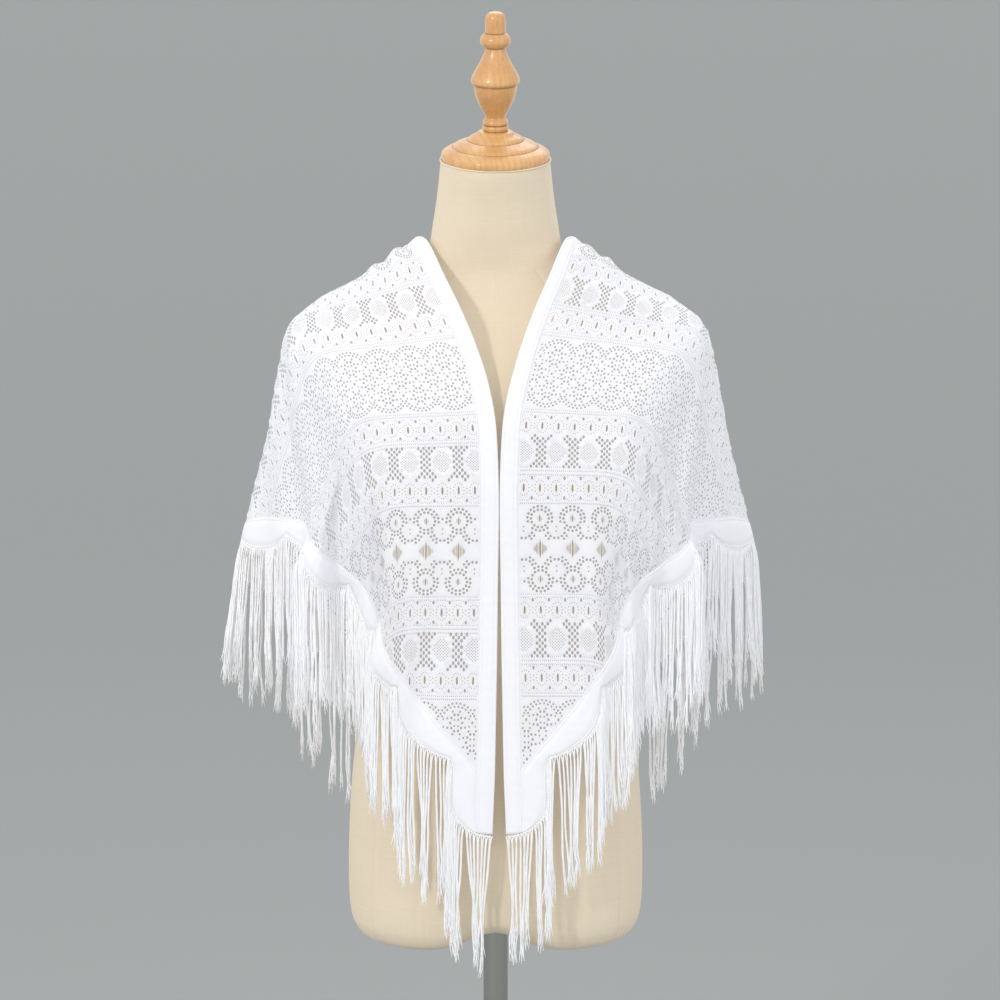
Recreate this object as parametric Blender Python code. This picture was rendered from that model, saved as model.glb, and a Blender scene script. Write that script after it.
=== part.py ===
"""Triangular lace shawl with a knotted fringe, worn on a limbless dress form.

Metres, +Z up, the front towards -Y, origin at the middle of the base's underside.

The shawl is one triangle of lace: its long side is the neck and front edge, and
its two short sides are the fringed hem.  Every point of the cloth has a place in
the flat triangle: run, measured along the long side from a front tip, and reach,
measured squarely away from that side.  drape() takes run and reach to the place
where the cloth hangs.  Left means the side at -X.
"""

import math
import random
from typing import NamedTuple

import bmesh
import bpy
import numpy as np
from mathutils import Vector
from mathutils.geometry import delaunay_2d_cdt

# ---------------------------------------------------------------- driving sizes
HALF_EDGE = 0.845        # half of the long side
HEM_SLOPE = 0.85         # reach for each metre of run at the tips
HEM_EASE = 0.10          # how much that slope has eased at the centre back
TIP_RADIUS = 0.045       # rounding of the front tips, across the edge
TIP_RUN = 0.040          # rounding of the front tips, along the edge
TIP_FIRST_RUN = 0.00016  # the fringe starts here, under the neck band's end
OPENING_X = 0.0040       # the fronts meet a little to the right of the middle
OPENING_FADE = (0.48, 0.66)

LACE_WALL = 0.0012
BAND_WALL = 0.0016
NECK_BAND = 0.017
HEM_BAND = 0.040
CORNER_RUN = 0.06785     # the lace, the hem band and the neck band meet here
SEAM_GAP = 0.0003

STRANDS_EACH_SIDE = 92
STRAND_WIDTH = 0.0019
STRAND_LENGTH = (0.112, 0.150)
STRAND_SWAY = 0.0030
ELBOW_REACH = 0.0042
ELBOW_AHEAD = 0.0030
ELBOW_DROP = 0.0045
STRAND_APART = 0.0042    # least distance between strand centres
STRIP_APART = 0.0050     # least distance from a strand to the strip it passes
PARTING_TURNS = 120
STRAND_CLEAR = 0.0027    # a strand closer than this to a kept one is left out
STRIP_CLEAR = 0.0034     # and so is one closer than this to the strip elsewhere
LEAST_LEAVING = 0.45     # share of a strand's first way that leads off the hem
STEEPEST_AWAY = -0.30    # a strand on hem steeper than this is left out
DOWN = Vector((0.0, 0.0, -1.0))
STRIP_DEPTH = 0.0034
STRIP_WIDTH = 0.0030

BASE_RADIUS = 0.150
BASE_THICKNESS = 0.008
POLE_RADIUS = 0.0150
FORM_UNDERSIDE = 0.636
NECK_TILT = math.radians(12.0)


class Edge(NamedTuple):
    """One station of the neck and front edge of the cloth."""

    run: float
    out: float
    back: float
    up: float


class Stripe(NamedTuple):
    """One cross stripe: it leaves the edge flat, turns over, and falls to the hem."""

    run: float
    heading: float       # degrees, 0 outwards and 90 to the back
    dip: float           # degrees below level
    shelf: float         # length before the turn
    turn: float          # half length of the turn
    hem_out: float
    hem_back: float
    hem_up: float


class Fold(NamedTuple):
    """One fold along a straight line of the flat cloth; it grows downwards or humps."""

    kind: str            # "fall" grows to the hem, "hump" rises and dies away
    top_run: float
    top_reach: float
    low_run: float
    low_reach: float
    width: float
    out: float
    back: float
    up: float


EDGES = (
    Edge(0.000, 0.0068, -0.128, 0.761),
    Edge(0.100, 0.0048, -0.128, 0.861),
    Edge(0.245, 0.0026, -0.130, 1.006),
    Edge(0.396, 0.0026, -0.135, 1.157),
    Edge(0.428, 0.0045, -0.133, 1.189),
    Edge(0.470, 0.0120, -0.125, 1.229),
    Edge(0.508, 0.0230, -0.113, 1.264),
    Edge(0.551, 0.0380, -0.095, 1.300),
    Edge(0.589, 0.0520, -0.073, 1.328),
    Edge(0.648, 0.0715, -0.020, 1.364),
    Edge(0.700, 0.0840, 0.030, 1.362),
    Edge(0.752, 0.0760, 0.080, 1.348),
    Edge(0.800, 0.0420, 0.108, 1.335),
    Edge(0.845, 0.0000, 0.115, 1.330),
)

STRIPES = (
    Stripe(0.080, -2, 0, 0.100, 0.030, 0.066, -0.128, 0.841),
    Stripe(0.140, -1, 0, 0.100, 0.030, 0.106, -0.126, 0.895),
    Stripe(0.193, 0, 0, 0.100, 0.030, 0.130, -0.120, 0.930),
    Stripe(0.250, 0, 0, 0.100, 0.030, 0.136, -0.108, 0.972),
    Stripe(0.303, 2, 0, 0.110, 0.035, 0.152, -0.092, 0.998),
    Stripe(0.350, 3, 1, 0.120, 0.040, 0.182, -0.098, 1.015),
    Stripe(0.398, 5, 2, 0.135, 0.045, 0.208, -0.085, 1.033),
    Stripe(0.425, 7, 3, 0.143, 0.045, 0.206, -0.062, 1.036),
    Stripe(0.450, 9, 4, 0.150, 0.045, 0.212, -0.040, 1.038),
    Stripe(0.490, 14, 6, 0.165, 0.040, 0.238, -0.005, 1.037),
    Stripe(0.535, 21, 9, 0.185, 0.035, 0.266, 0.040, 1.027),
    Stripe(0.568, 27, 12, 0.200, 0.030, 0.281, 0.080, 1.012),
    Stripe(0.590, 31, 14, 0.200, 0.030, 0.275, 0.108, 0.992),
    Stripe(0.620, 38, 18, 0.185, 0.035, 0.250, 0.123, 0.966),
    Stripe(0.660, 46, 26, 0.155, 0.045, 0.213, 0.130, 0.922),
    Stripe(0.700, 52, 34, 0.125, 0.050, 0.168, 0.134, 0.875),
    Stripe(0.760, 62, 50, 0.100, 0.050, 0.096, 0.138, 0.800),
    Stripe(0.845, 90, 66, 0.080, 0.050, 0.000, 0.141, 0.722),
)

LEFT_FOLDS = (
    Fold("fall", 0.56, 0.190, 0.400, 0.322, 0.024, 0.002, -0.012, 0.0),
    Fold("fall", 0.57, 0.200, 0.448, 0.357, 0.024, -0.006, 0.013, 0.0),
    Fold("fall", 0.46, 0.150, 0.322, 0.260, 0.021, 0.000, 0.016, 0.0),
    Fold("fall", 0.47, 0.160, 0.362, 0.291, 0.019, -0.002, -0.007, 0.0),
    Fold("fall", 0.43, 0.120, 0.262, 0.210, 0.020, 0.000, -0.005, 0.0),
    Fold("fall", 0.43, 0.100, 0.212, 0.168, 0.018, 0.000, 0.006, 0.0),
    Fold("fall", 0.42, 0.085, 0.162, 0.124, 0.017, 0.000, -0.005, 0.0),
    Fold("fall", 0.30, 0.060, 0.112, 0.080, 0.014, 0.000, 0.006, 0.0),
    Fold("fall", 0.62, 0.220, 0.510, 0.402, 0.030, -0.004, 0.006, 0.0),
    Fold("fall", 0.70, 0.120, 0.700, 0.520, 0.032, 0.000, 0.012, 0.0),
    Fold("fall", 0.76, 0.100, 0.770, 0.570, 0.032, 0.000, -0.008, 0.0),
    Fold("hump", 0.56, 0.046, 0.74, 0.050, 0.013, 0.000, 0.000, 0.008),
    Fold("hump", 0.58, 0.084, 0.72, 0.088, 0.013, 0.000, 0.000, 0.005),
)

RIGHT_FOLDS = (
    Fold("fall", 0.56, 0.190, 0.400, 0.322, 0.024, 0.002, -0.012, 0.0),
    Fold("fall", 0.57, 0.200, 0.446, 0.356, 0.026, -0.008, 0.018, 0.0),
    Fold("fall", 0.46, 0.150, 0.330, 0.266, 0.021, 0.000, 0.012, 0.0),
    Fold("fall", 0.43, 0.120, 0.262, 0.205, 0.021, 0.000, -0.007, 0.0),
    Fold("fall", 0.40, 0.100, 0.200, 0.156, 0.019, 0.000, 0.006, 0.0),
    Fold("fall", 0.38, 0.080, 0.144, 0.108, 0.016, 0.000, -0.004, 0.0),
    Fold("fall", 0.62, 0.220, 0.520, 0.408, 0.030, -0.004, 0.008, 0.0),
    Fold("fall", 0.70, 0.120, 0.690, 0.512, 0.034, 0.000, 0.010, 0.0),
    Fold("fall", 0.78, 0.100, 0.790, 0.584, 0.030, 0.000, -0.008, 0.0),
    Fold("hump", 0.58, 0.036, 0.73, 0.040, 0.013, 0.000, 0.000, 0.006),
    Fold("hump", 0.57, 0.070, 0.74, 0.072, 0.012, 0.000, 0.000, 0.007),
)
FOLDS = {-1: LEFT_FOLDS, 1: RIGHT_FOLDS}


class GapRow(NamedTuple):
    """One row of gaps across the cloth, placed from a row of diamonds."""

    kind: str
    along: float         # towards the right tip


GAP_ROWS = (
    GapRow("chain", -0.1334),
    GapRow("chain", -0.0630),
    GapRow("ring", -0.0315),
    GapRow("diamond", 0.0),
    GapRow("ring", 0.0315),
    GapRow("chain", 0.0630),
    GapRow("chain", 0.1330),
)
FIRST_DIAMONDS = 0.2950  # lace from the left tip to its first row of diamonds
LACE_REPEAT = 0.3945     # length of one repeat of the lace along the long side
MOTIF_PITCH = 0.0328     # width of one repeat across it
FIRST_MOTIF = 0.0394     # reach of the first diamond in a row
HALF_OF_GAP = {          # half run and half reach of each kind
    "diamond": (0.0100, 0.0036),
    "ring": (0.0044, 0.0022),
    "chain": (0.0053, 0.0018),
}
CLEAR_OF_SEAM = 0.0035
CHAIN_SKIP_RUN = 0.480   # behind this run every second chain gap is cut
RING_LAST_RUN = 0.560    # behind this run the ring flowers are left whole


class Ease(NamedTuple):
    """How much more lace than run lies between a front tip and a run."""

    run: float
    more: float


EASES = (
    Ease(0.380, 0.000),
    Ease(0.500, 0.019),
    Ease(0.620, 0.019),
    Ease(0.845, 0.0432),
)


# ------------------------------------------------------------------ the drape
def hem_line(run):
    """Reach of the straight hem at a run."""
    return run * (HEM_SLOPE - HEM_EASE * run / HALF_EDGE)


def hem_reach(run):
    """Reach of the hem with the tip rounded."""
    share = np.clip(run, 0.0, TIP_RUN) / TIP_RUN
    rounded = TIP_RADIUS * np.sqrt(np.clip(1.0 - (1.0 - share) ** 2, 0.0, 1.0))
    return np.maximum(hem_line(run), rounded)


def through_rows(stations, rows, where):
    """Smooth curve through table rows, as a cubic with averaged slopes."""
    spans = np.diff(stations)[:, None]
    slopes = np.diff(rows, axis=0) / spans
    tangents = np.empty_like(rows)
    tangents[1:-1] = (slopes[:-1] * spans[1:] + slopes[1:] * spans[:-1]) / (
        spans[1:] + spans[:-1])
    tangents[0] = slopes[0]
    tangents[-1] = slopes[-1]
    cell = np.clip(np.searchsorted(stations, where, side="right") - 1, 0, len(stations) - 2)
    span = (stations[cell + 1] - stations[cell])[..., None]
    t = (where - stations[cell])[..., None] / span
    return ((2 * t ** 3 - 3 * t ** 2 + 1) * rows[cell]
            + (t ** 3 - 2 * t ** 2 + t) * span * tangents[cell]
            + (3 * t ** 2 - 2 * t ** 3) * rows[cell + 1]
            + (t ** 3 - t ** 2) * span * tangents[cell + 1])


def mirrored_past_middle(rows, across):
    """Table rows with the last but one repeated past the centre back, mirrored."""
    extra = rows[-2].copy()
    extra[0] = 2 * HALF_EDGE - extra[0]
    extra[across] *= -1
    return np.vstack([rows, extra])


EDGE_ROWS = mirrored_past_middle(np.array(EDGES), [1])


def edge_place(run):
    """Out, back and up of the neck edge at a run."""
    return through_rows(EDGE_ROWS[:, 0], EDGE_ROWS[:, 1:], run)


def stripe_rows():
    """Each stripe as run, shelf direction (3), shelf, turn, fall per metre (3)."""
    rows = []
    for stripe in STRIPES:
        heading = math.radians(stripe.heading)
        dip = math.radians(stripe.dip)
        shelf = np.array([math.cos(dip) * math.cos(heading),
                          math.cos(dip) * math.sin(heading),
                          -math.sin(dip)])
        start = edge_place(np.array([stripe.run]))[0]
        hem = np.array([stripe.hem_out, stripe.hem_back, stripe.hem_up])
        left_over = float(hem_reach(stripe.run)) - stripe.shelf
        fall = shelf * 0.9
        if left_over > 0.015:
            fall = (hem - start - shelf * stripe.shelf) / left_over
        rows.append([stripe.run, *shelf, stripe.shelf, stripe.turn, *fall])
    return mirrored_past_middle(np.array(rows), [1, 6])


STRIPE_ROWS = stripe_rows()


def drape(side, run, reach):
    """Place of the cloth's middle layer, as an array of x, y, z."""
    run = np.asarray(run, dtype=float)
    reach = np.asarray(reach, dtype=float)
    row = through_rows(STRIPE_ROWS[:, 0], STRIPE_ROWS[:, 1:],
                       np.maximum(run, STRIPES[0].run))
    shelf = row[..., 0:3] / np.linalg.norm(row[..., 0:3], axis=-1, keepdims=True)
    length = row[..., 3]
    turn = row[..., 4]
    share = np.clip((reach - length + turn) / (2 * turn), 0.0, 1.0)
    fallen = 2 * turn * (share ** 3 - share ** 4 / 2) + np.maximum(reach - length - turn, 0.0)
    place = (edge_place(run) + shelf * (reach - fallen)[..., None]
             + row[..., 5:8] * fallen[..., None])
    for fold in FOLDS[side]:
        place += fold_lift(fold, run, reach)[..., None] * np.array(
            [fold.out, fold.back, fold.up])
    fade = np.clip((run - OPENING_FADE[0]) / (OPENING_FADE[1] - OPENING_FADE[0]), 0.0, 1.0)
    place[..., 0] = side * place[..., 0] + OPENING_X * (1.0 - fade)
    return place


def fold_lift(fold, run, reach):
    """How much of a fold's push a point of the flat cloth takes."""
    along_run = fold.low_run - fold.top_run
    along_reach = fold.low_reach - fold.top_reach
    length = math.hypot(along_run, along_reach)
    share = ((run - fold.top_run) * along_run + (reach - fold.top_reach) * along_reach) / length ** 2
    offset = ((run - fold.top_run) * along_reach - (reach - fold.top_reach) * along_run) / length
    grown = np.clip(share, 0.0, 1.0)
    if fold.kind == "hump":
        height = np.sin(math.pi * grown) ** 2
        width = fold.width
    else:
        height = grown ** 2 * (3 - 2 * grown)
        width = fold.width * (0.55 + 0.45 * grown)
    return height * np.exp(-(offset / width) ** 2)


def drape_normal(side, run, reach):
    """Unit normal of the cloth, away from the form."""
    step = 0.0008
    along = drape(side, run + step, reach) - drape(side, run - step, reach)
    across = drape(side, run, reach + step) - drape(side, run, reach - step)
    normal = np.cross(across, along) * side
    return normal / np.linalg.norm(normal, axis=-1, keepdims=True)


def seam_way(side, run, line):
    """Unit direction in the cloth, square to a seam and towards the hem.

    line gives the reach of the seam at a run.
    """
    step = 0.0008
    reach = line(run)
    along = (drape(side, run + step, line(run + step))
             - drape(side, run - step, line(run - step)))
    way = np.cross(drape_normal(side, run, reach), along)
    across = drape(side, run, reach + step) - drape(side, run, reach - step)
    way *= np.sign(np.sum(way * across, axis=-1, keepdims=True))
    return way / np.linalg.norm(way, axis=-1, keepdims=True)


# -------------------------------------------------------------- mesh helpers
def add_object(name, verts, faces, material):
    """A new object from vertices and faces, shaded smooth where it is round."""
    mesh = bpy.data.meshes.new(name)
    mesh.from_pydata([tuple(map(float, v)) for v in verts], [], faces)
    bm = bmesh.new()
    bm.from_mesh(mesh)
    bmesh.ops.recalc_face_normals(bm, faces=bm.faces)
    bm.to_mesh(mesh)
    bm.free()
    mesh.shade_smooth()
    mesh.set_sharp_from_angle(angle=math.radians(35))
    mesh.materials.append(material)
    made = bpy.data.objects.new(name, mesh)
    bpy.context.collection.objects.link(made)
    return made


def split_face(face, places):
    """A face as triangles, a four-sided one along its shorter diagonal."""
    if len(face) == 3:
        return [tuple(face)]
    a, b, c, d = face
    if np.linalg.norm(places[a] - places[c]) <= np.linalg.norm(places[b] - places[d]):
        return [(a, b, c), (a, c, d)]
    return [(a, b, d), (b, c, d)]


def wall_mesh(flat, faces, side_of, thickness, nudge=0.0):
    """Closed wall from a flat layout: both skins, and a rim along each free edge.

    flat holds run and reach, side_of gives the side of the body for each point,
    and nudge moves points in space to part two pieces at their seam.
    """
    count = len(flat)
    flat = np.asarray(flat, dtype=float)
    sides = np.asarray(side_of)
    middle = np.empty((count, 3))
    normal = np.empty((count, 3))
    for side in (-1, 1):
        mine = sides == side
        if mine.any():
            middle[mine] = drape(side, flat[mine, 0], flat[mine, 1])
            normal[mine] = drape_normal(side, flat[mine, 0], flat[mine, 1])
    middle = middle + nudge
    verts = np.vstack([middle + normal * thickness / 2, middle - normal * thickness / 2])
    free = {}
    for face in faces:
        for a, b in zip(face, face[1:] + face[:1]):
            if (b, a) in free:
                del free[(b, a)]
            else:
                free[(a, b)] = True
    front = []
    for face in faces:
        front += split_face(face, middle)
    skins = front + [tuple(count + i for i in reversed(face)) for face in front]
    rims = []
    for a, b in free:
        if flat[a][0] < flat[b][0]:
            rims += [(b, a, a + count), (b, a + count, b + count)]
        else:
            rims += [(a, a + count, b + count), (a, b + count, b)]
    return verts, skins + rims


def lofted(rings):
    """Closed body through rings of equal length, capped with fans at both ends."""
    size = len(rings[0])
    verts = [v for ring in rings for v in ring]
    faces = []
    for level in range(len(rings) - 1):
        low = level * size
        for i in range(size):
            j = (i + 1) % size
            faces.append((low + i, low + j, low + size + j, low + size + i))
    for ring, first in ((rings[0], 0), (rings[-1], (len(rings) - 1) * size)):
        verts.append(np.mean(np.array(ring), axis=0))
        hub = len(verts) - 1
        faces += [(first + i, first + (i + 1) % size, hub) for i in range(size)]
    return verts, faces


def turned(profile, segments, origin, tilt):
    """Turned body from radius and height pairs, standing on origin, tilted forwards."""
    rings = []
    for radius, height in profile:
        ring = []
        for i in range(segments):
            angle = 2 * math.pi * i / segments
            x = radius * math.cos(angle)
            y = radius * math.sin(angle)
            ring.append((origin[0] + x,
                         origin[1] + y * math.cos(tilt) - height * math.sin(tilt),
                         origin[2] + y * math.sin(tilt) + height * math.cos(tilt)))
        rings.append(ring)
    return lofted(rings)


def new_material(name, colour, roughness, metallic):
    """A Principled material."""
    material = bpy.data.materials.new(name)
    material.use_nodes = True
    shader = material.node_tree.nodes["Principled BSDF"]
    shader.inputs["Base Color"].default_value = (*colour, 1.0)
    shader.inputs["Roughness"].default_value = roughness
    shader.inputs["Metallic"].default_value = metallic
    return material


# ---------------------------------------------------------------- the dress form
class Ring(NamedTuple):
    """One level section of the form's body."""

    up: float
    half_width: float
    front: float
    back: float
    middle: float        # how far back its centre sits
    square: float        # 2 is an ellipse, more is squarer


FORM_RINGS = (
    Ring(0.637, 0.100, 0.060, 0.070, 0.0, 2.4),
    Ring(0.641, 0.128, 0.084, 0.094, 0.0, 2.4),
    Ring(0.654, 0.145, 0.099, 0.112, 0.0, 2.4),
    Ring(0.680, 0.1525, 0.106, 0.122, 0.0, 2.3),
    Ring(0.740, 0.1540, 0.108, 0.127, 0.0, 2.2),
    Ring(0.810, 0.1510, 0.108, 0.125, 0.0, 2.2),
    Ring(0.870, 0.1420, 0.104, 0.108, 0.0, 2.2),
    Ring(0.930, 0.1280, 0.094, 0.086, 0.0, 2.2),
    Ring(0.985, 0.1180, 0.088, 0.072, 0.0, 2.2),
    Ring(1.040, 0.1220, 0.094, 0.076, 0.0, 2.2),
    Ring(1.100, 0.1360, 0.108, 0.092, 0.0, 2.2),
    Ring(1.155, 0.1480, 0.120, 0.104, 0.0, 2.2),
    Ring(1.205, 0.1600, 0.112, 0.110, 0.0, 2.2),
    Ring(1.245, 0.1760, 0.092, 0.106, 0.0, 2.2),
    Ring(1.270, 0.1800, 0.072, 0.098, 0.002, 2.2),
    Ring(1.292, 0.1550, 0.056, 0.086, 0.004, 2.1),
    Ring(1.312, 0.1230, 0.050, 0.074, 0.005, 2.0),
    Ring(1.332, 0.0900, 0.048, 0.064, 0.004, 2.0),
    Ring(1.352, 0.0710, 0.050, 0.056, 0.000, 2.0),
)


class NeckRing(NamedTuple):
    """One section of the neck, square to its tilted axis."""

    height: float
    half_width: float
    half_depth: float


NECK_RINGS = (
    NeckRing(0.020, 0.0645, 0.0530),
    NeckRing(0.050, 0.0600, 0.0530),
    NeckRing(0.076, 0.0575, 0.0555),
)
NECK_FOOT = (0.0, 0.000, 1.362)
FORM_SEGMENTS = 26
NOTCH_RISE = 0.017
NOTCH_HALF_WIDTH = 0.042
NOTCH_FADE_TOP = 0.690


def form_ring(ring):
    """Points of one level section; the lowest ones rise between the two lobes."""
    points = []
    for i in range(FORM_SEGMENTS):
        angle = 2 * math.pi * i / FORM_SEGMENTS
        c = math.cos(angle)
        s = math.sin(angle)
        power = 2.0 / ring.square
        x = ring.half_width * math.copysign(abs(c) ** power, c)
        depth = ring.back if s > 0 else ring.front
        y = ring.middle + depth * math.copysign(abs(s) ** power, s)
        fade = max(0.0, (NOTCH_FADE_TOP - ring.up) / (NOTCH_FADE_TOP - FORM_UNDERSIDE))
        z = ring.up + NOTCH_RISE * fade * math.exp(-(x / NOTCH_HALF_WIDTH) ** 2)
        points.append((x, y, z))
    return points


def neck_point(height):
    """Centre of the neck at a height along its tilted axis."""
    return (NECK_FOOT[0],
            NECK_FOOT[1] - height * math.sin(NECK_TILT),
            NECK_FOOT[2] + height * math.cos(NECK_TILT))


def build_form(material):
    """Torso and neck of the dress form, one smooth body."""
    rings = [form_ring(ring) for ring in FORM_RINGS]
    for ring in NECK_RINGS:
        centre = neck_point(ring.height)
        points = []
        for i in range(FORM_SEGMENTS):
            angle = 2 * math.pi * i / FORM_SEGMENTS
            across = ring.half_depth * math.sin(angle)
            points.append((centre[0] + ring.half_width * math.cos(angle),
                           centre[1] + across * math.cos(NECK_TILT),
                           centre[2] + across * math.sin(NECK_TILT)))
        rings.append(points)
    verts, faces = lofted(rings)
    notch_hub = len(verts) - 2
    verts[notch_hub] = (0.0, 0.0, FORM_UNDERSIDE + NOTCH_RISE)
    return add_object("form_torso", verts, faces, material)


CAP_PROFILE = (
    (0.0560, 0.0000),
    (0.0575, 0.0020),
    (0.0575, 0.0100),
    (0.0540, 0.0130),
    (0.0440, 0.0160),
    (0.0430, 0.0185),
    (0.0300, 0.0225),
    (0.0285, 0.0250),
    (0.0160, 0.0280),
)
FINIAL_PROFILE = (
    (0.0130, 0.0000),
    (0.0132, 0.0060),
    (0.0108, 0.0080),
    (0.0132, 0.0105),
    (0.0104, 0.0150),
    (0.0160, 0.0270),
    (0.0215, 0.0430),
    (0.0225, 0.0500),
    (0.0255, 0.0530),
    (0.0240, 0.0600),
    (0.0130, 0.0800),
    (0.0099, 0.0900),
    (0.0140, 0.0925),
    (0.0156, 0.0985),
    (0.0140, 0.1045),
    (0.0104, 0.1070),
    (0.0100, 0.1240),
    (0.0070, 0.1290),
)
CAP_HEIGHT = 0.0763
WOOD_SEGMENTS = 16


def build_stand(wood, steel):
    """Neck cap, finial, pole and base plate."""
    cap_foot = neck_point(CAP_HEIGHT)
    verts, faces = turned(CAP_PROFILE, WOOD_SEGMENTS, cap_foot, NECK_TILT)
    add_object("neck_cap", verts, faces, wood)
    finial_foot = neck_point(CAP_HEIGHT + CAP_PROFILE[-1][1] + SEAM_GAP)
    verts, faces = turned(FINIAL_PROFILE, WOOD_SEGMENTS, finial_foot, NECK_TILT)
    add_object("finial", verts, faces, wood)
    plate = (
        (BASE_RADIUS, 0.0),
        (BASE_RADIUS, BASE_THICKNESS * 0.7),
        (BASE_RADIUS - 0.004, BASE_THICKNESS),
        (0.028, BASE_THICKNESS + 0.002),
        (0.026, BASE_THICKNESS + 0.012),
        (POLE_RADIUS, BASE_THICKNESS + 0.014),
    )
    verts, faces = turned(plate, 32, (0.0, 0.0, 0.0), 0.0)
    add_object("base_plate", verts, faces, steel)
    pole_foot = BASE_THICKNESS + 0.014 + SEAM_GAP
    pole_length = FORM_UNDERSIDE + NOTCH_RISE - pole_foot - 0.0035
    pole = ((POLE_RADIUS, 0.0), (POLE_RADIUS, pole_length))
    verts, faces = turned(pole, 24, (0.0, 0.0, pole_foot), 0.0)
    add_object("pole", verts, faces, steel)


# ------------------------------------------------------------------- the lace
class Gap(NamedTuple):
    """One opening of the lace: a lozenge in the flat cloth."""

    run: float
    reach: float
    half_run: float
    half_reach: float


def lace_length(run):
    """Length of lace between a front tip and a run."""
    return run + np.interp(run, [ease.run for ease in EASES], [ease.more for ease in EASES])


def gap_row_runs(side):
    """Kind and run of every row of gaps on one side."""
    runs = np.linspace(0.0, HALF_EDGE, 800)
    lengths = lace_length(runs)
    found = []
    diamonds = FIRST_DIAMONDS
    while diamonds - LACE_REPEAT < 2 * lengths[-1]:
        for row in GAP_ROWS:
            length = diamonds + row.along
            if side > 0:
                length = 2 * lengths[-1] - length
            if 0.0 < length < lengths[-1]:
                found.append((row.kind, float(np.interp(length, lengths, runs))))
        diamonds += LACE_REPEAT
    return found


def lace_end(run):
    """Reach where the lace meets the hem band."""
    return hem_line(run) - HEM_BAND


def gap_row(run, half, pitch):
    """Gaps of one row across the cloth, clear of the neck band and the hem."""
    if not CORNER_RUN < run < HALF_EDGE - half[0] - CLEAR_OF_SEAM:
        return []
    nearest = NECK_BAND + CLEAR_OF_SEAM + half[1]
    last = lace_end(run - half[0]) - CLEAR_OF_SEAM
    row = []
    reach = FIRST_MOTIF + pitch * math.ceil((nearest - FIRST_MOTIF) / pitch)
    while reach + half[1] < last:
        row.append(Gap(run, reach, *half))
        reach += pitch
    return row


def lace_gaps(side):
    """Openings of one side: diamonds, hearts of ring flowers, slits of chains."""
    gaps = []
    for kind, run in gap_row_runs(side):
        pitch = MOTIF_PITCH
        if kind == "chain" and run < CHAIN_SKIP_RUN:
            pitch = MOTIF_PITCH / 2
        if kind != "ring" or run < RING_LAST_RUN:
            gaps += gap_row(run, HALF_OF_GAP[kind], pitch)
    return gaps


GRID_FINE = 0.0135
GRID_KEEP_OFF = 0.0055
BEND_ALLOWED = 0.0024    # rise over one fine step before the grid is made finer


def bend(side, run, reach):
    """How far the cloth leaves a straight line over one grid step, both ways."""
    middle = drape(side, run, reach)
    along = (drape(side, run - GRID_FINE, reach) + drape(side, run + GRID_FINE, reach)) / 2
    across = (drape(side, run, reach - GRID_FINE) + drape(side, run, reach + GRID_FINE)) / 2
    return np.maximum(np.linalg.norm(along - middle, axis=-1),
                      np.linalg.norm(across - middle, axis=-1))


def layout_points(side):
    """Loose points of the flat lace, closer together where it bends."""
    rows = int(HALF_EDGE / GRID_FINE)
    columns = int(hem_line(HALF_EDGE) / GRID_FINE) + 1
    margin = 0.45 * GRID_FINE
    i, j = np.meshgrid(np.arange(rows + 1), np.arange(columns + 1), indexing="ij")
    run = (i + 0.5 * (j % 2)) * GRID_FINE
    reach = NECK_BAND + j * GRID_FINE
    inside = ((run < HALF_EDGE - margin) & (reach > NECK_BAND + margin)
              & (reach < lace_end(run) - margin))
    coarse = (i % 2 == 0) & (j % 2 == 0)
    wanted = inside & (coarse | (bend(side, run, reach) > BEND_ALLOWED))
    return list(zip(run[wanted], reach[wanted]))


# ------------------------------------------- stations shared along the seams
SEAM_REACH = NECK_BAND + SEAM_GAP
MIDDLE_RUN = HALF_EDGE - SEAM_GAP / 2
NECK_STEP = 0.018
CORNER_STATIONS = 7


def neck_runs():
    """Runs of the stations along the neck band's outer edge and the lace."""
    behind = int((MIDDLE_RUN - CORNER_RUN) / NECK_STEP)
    return [0.0040, 0.0340, *np.linspace(CORNER_RUN, MIDDLE_RUN, behind + 1)]


def evenly_along_hem(first, last, count):
    """Runs that divide the hem between two runs into equal lengths."""
    run = first + (last - first) * np.linspace(0.0, 1.0, 800) ** 2
    step = np.hypot(np.diff(run), np.diff(hem_reach(run)))
    length = np.concatenate([[0.0], np.cumsum(step)])
    return list(np.interp(np.linspace(0.0, length[-1], count + 1), length, run))


def hem_runs():
    """Runs of the stations along the hem: the tip, the corner of the lace, the middle."""
    behind = STRANDS_EACH_SIDE - CORNER_STATIONS - 1
    tip = evenly_along_hem(0.0035, CORNER_RUN, CORNER_STATIONS)
    return tip[:-1] + evenly_along_hem(CORNER_RUN, MIDDLE_RUN, behind)


def outline_points():
    """Outline of the flat lace of one side, in order."""
    outline = [(CORNER_RUN + 0.0010, SEAM_REACH)]
    outline += [(run, SEAM_REACH) for run in neck_runs() if run > CORNER_RUN + 0.004]
    drop = lace_end(MIDDLE_RUN) - SEAM_REACH
    steps = int(drop / 0.028)
    outline += [(MIDDLE_RUN, SEAM_REACH + drop * i / steps) for i in range(1, steps)]
    for run in reversed(hem_runs()):
        if run > CORNER_RUN + 0.004:
            outline.append((run, lace_end(run)))
    return outline


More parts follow.
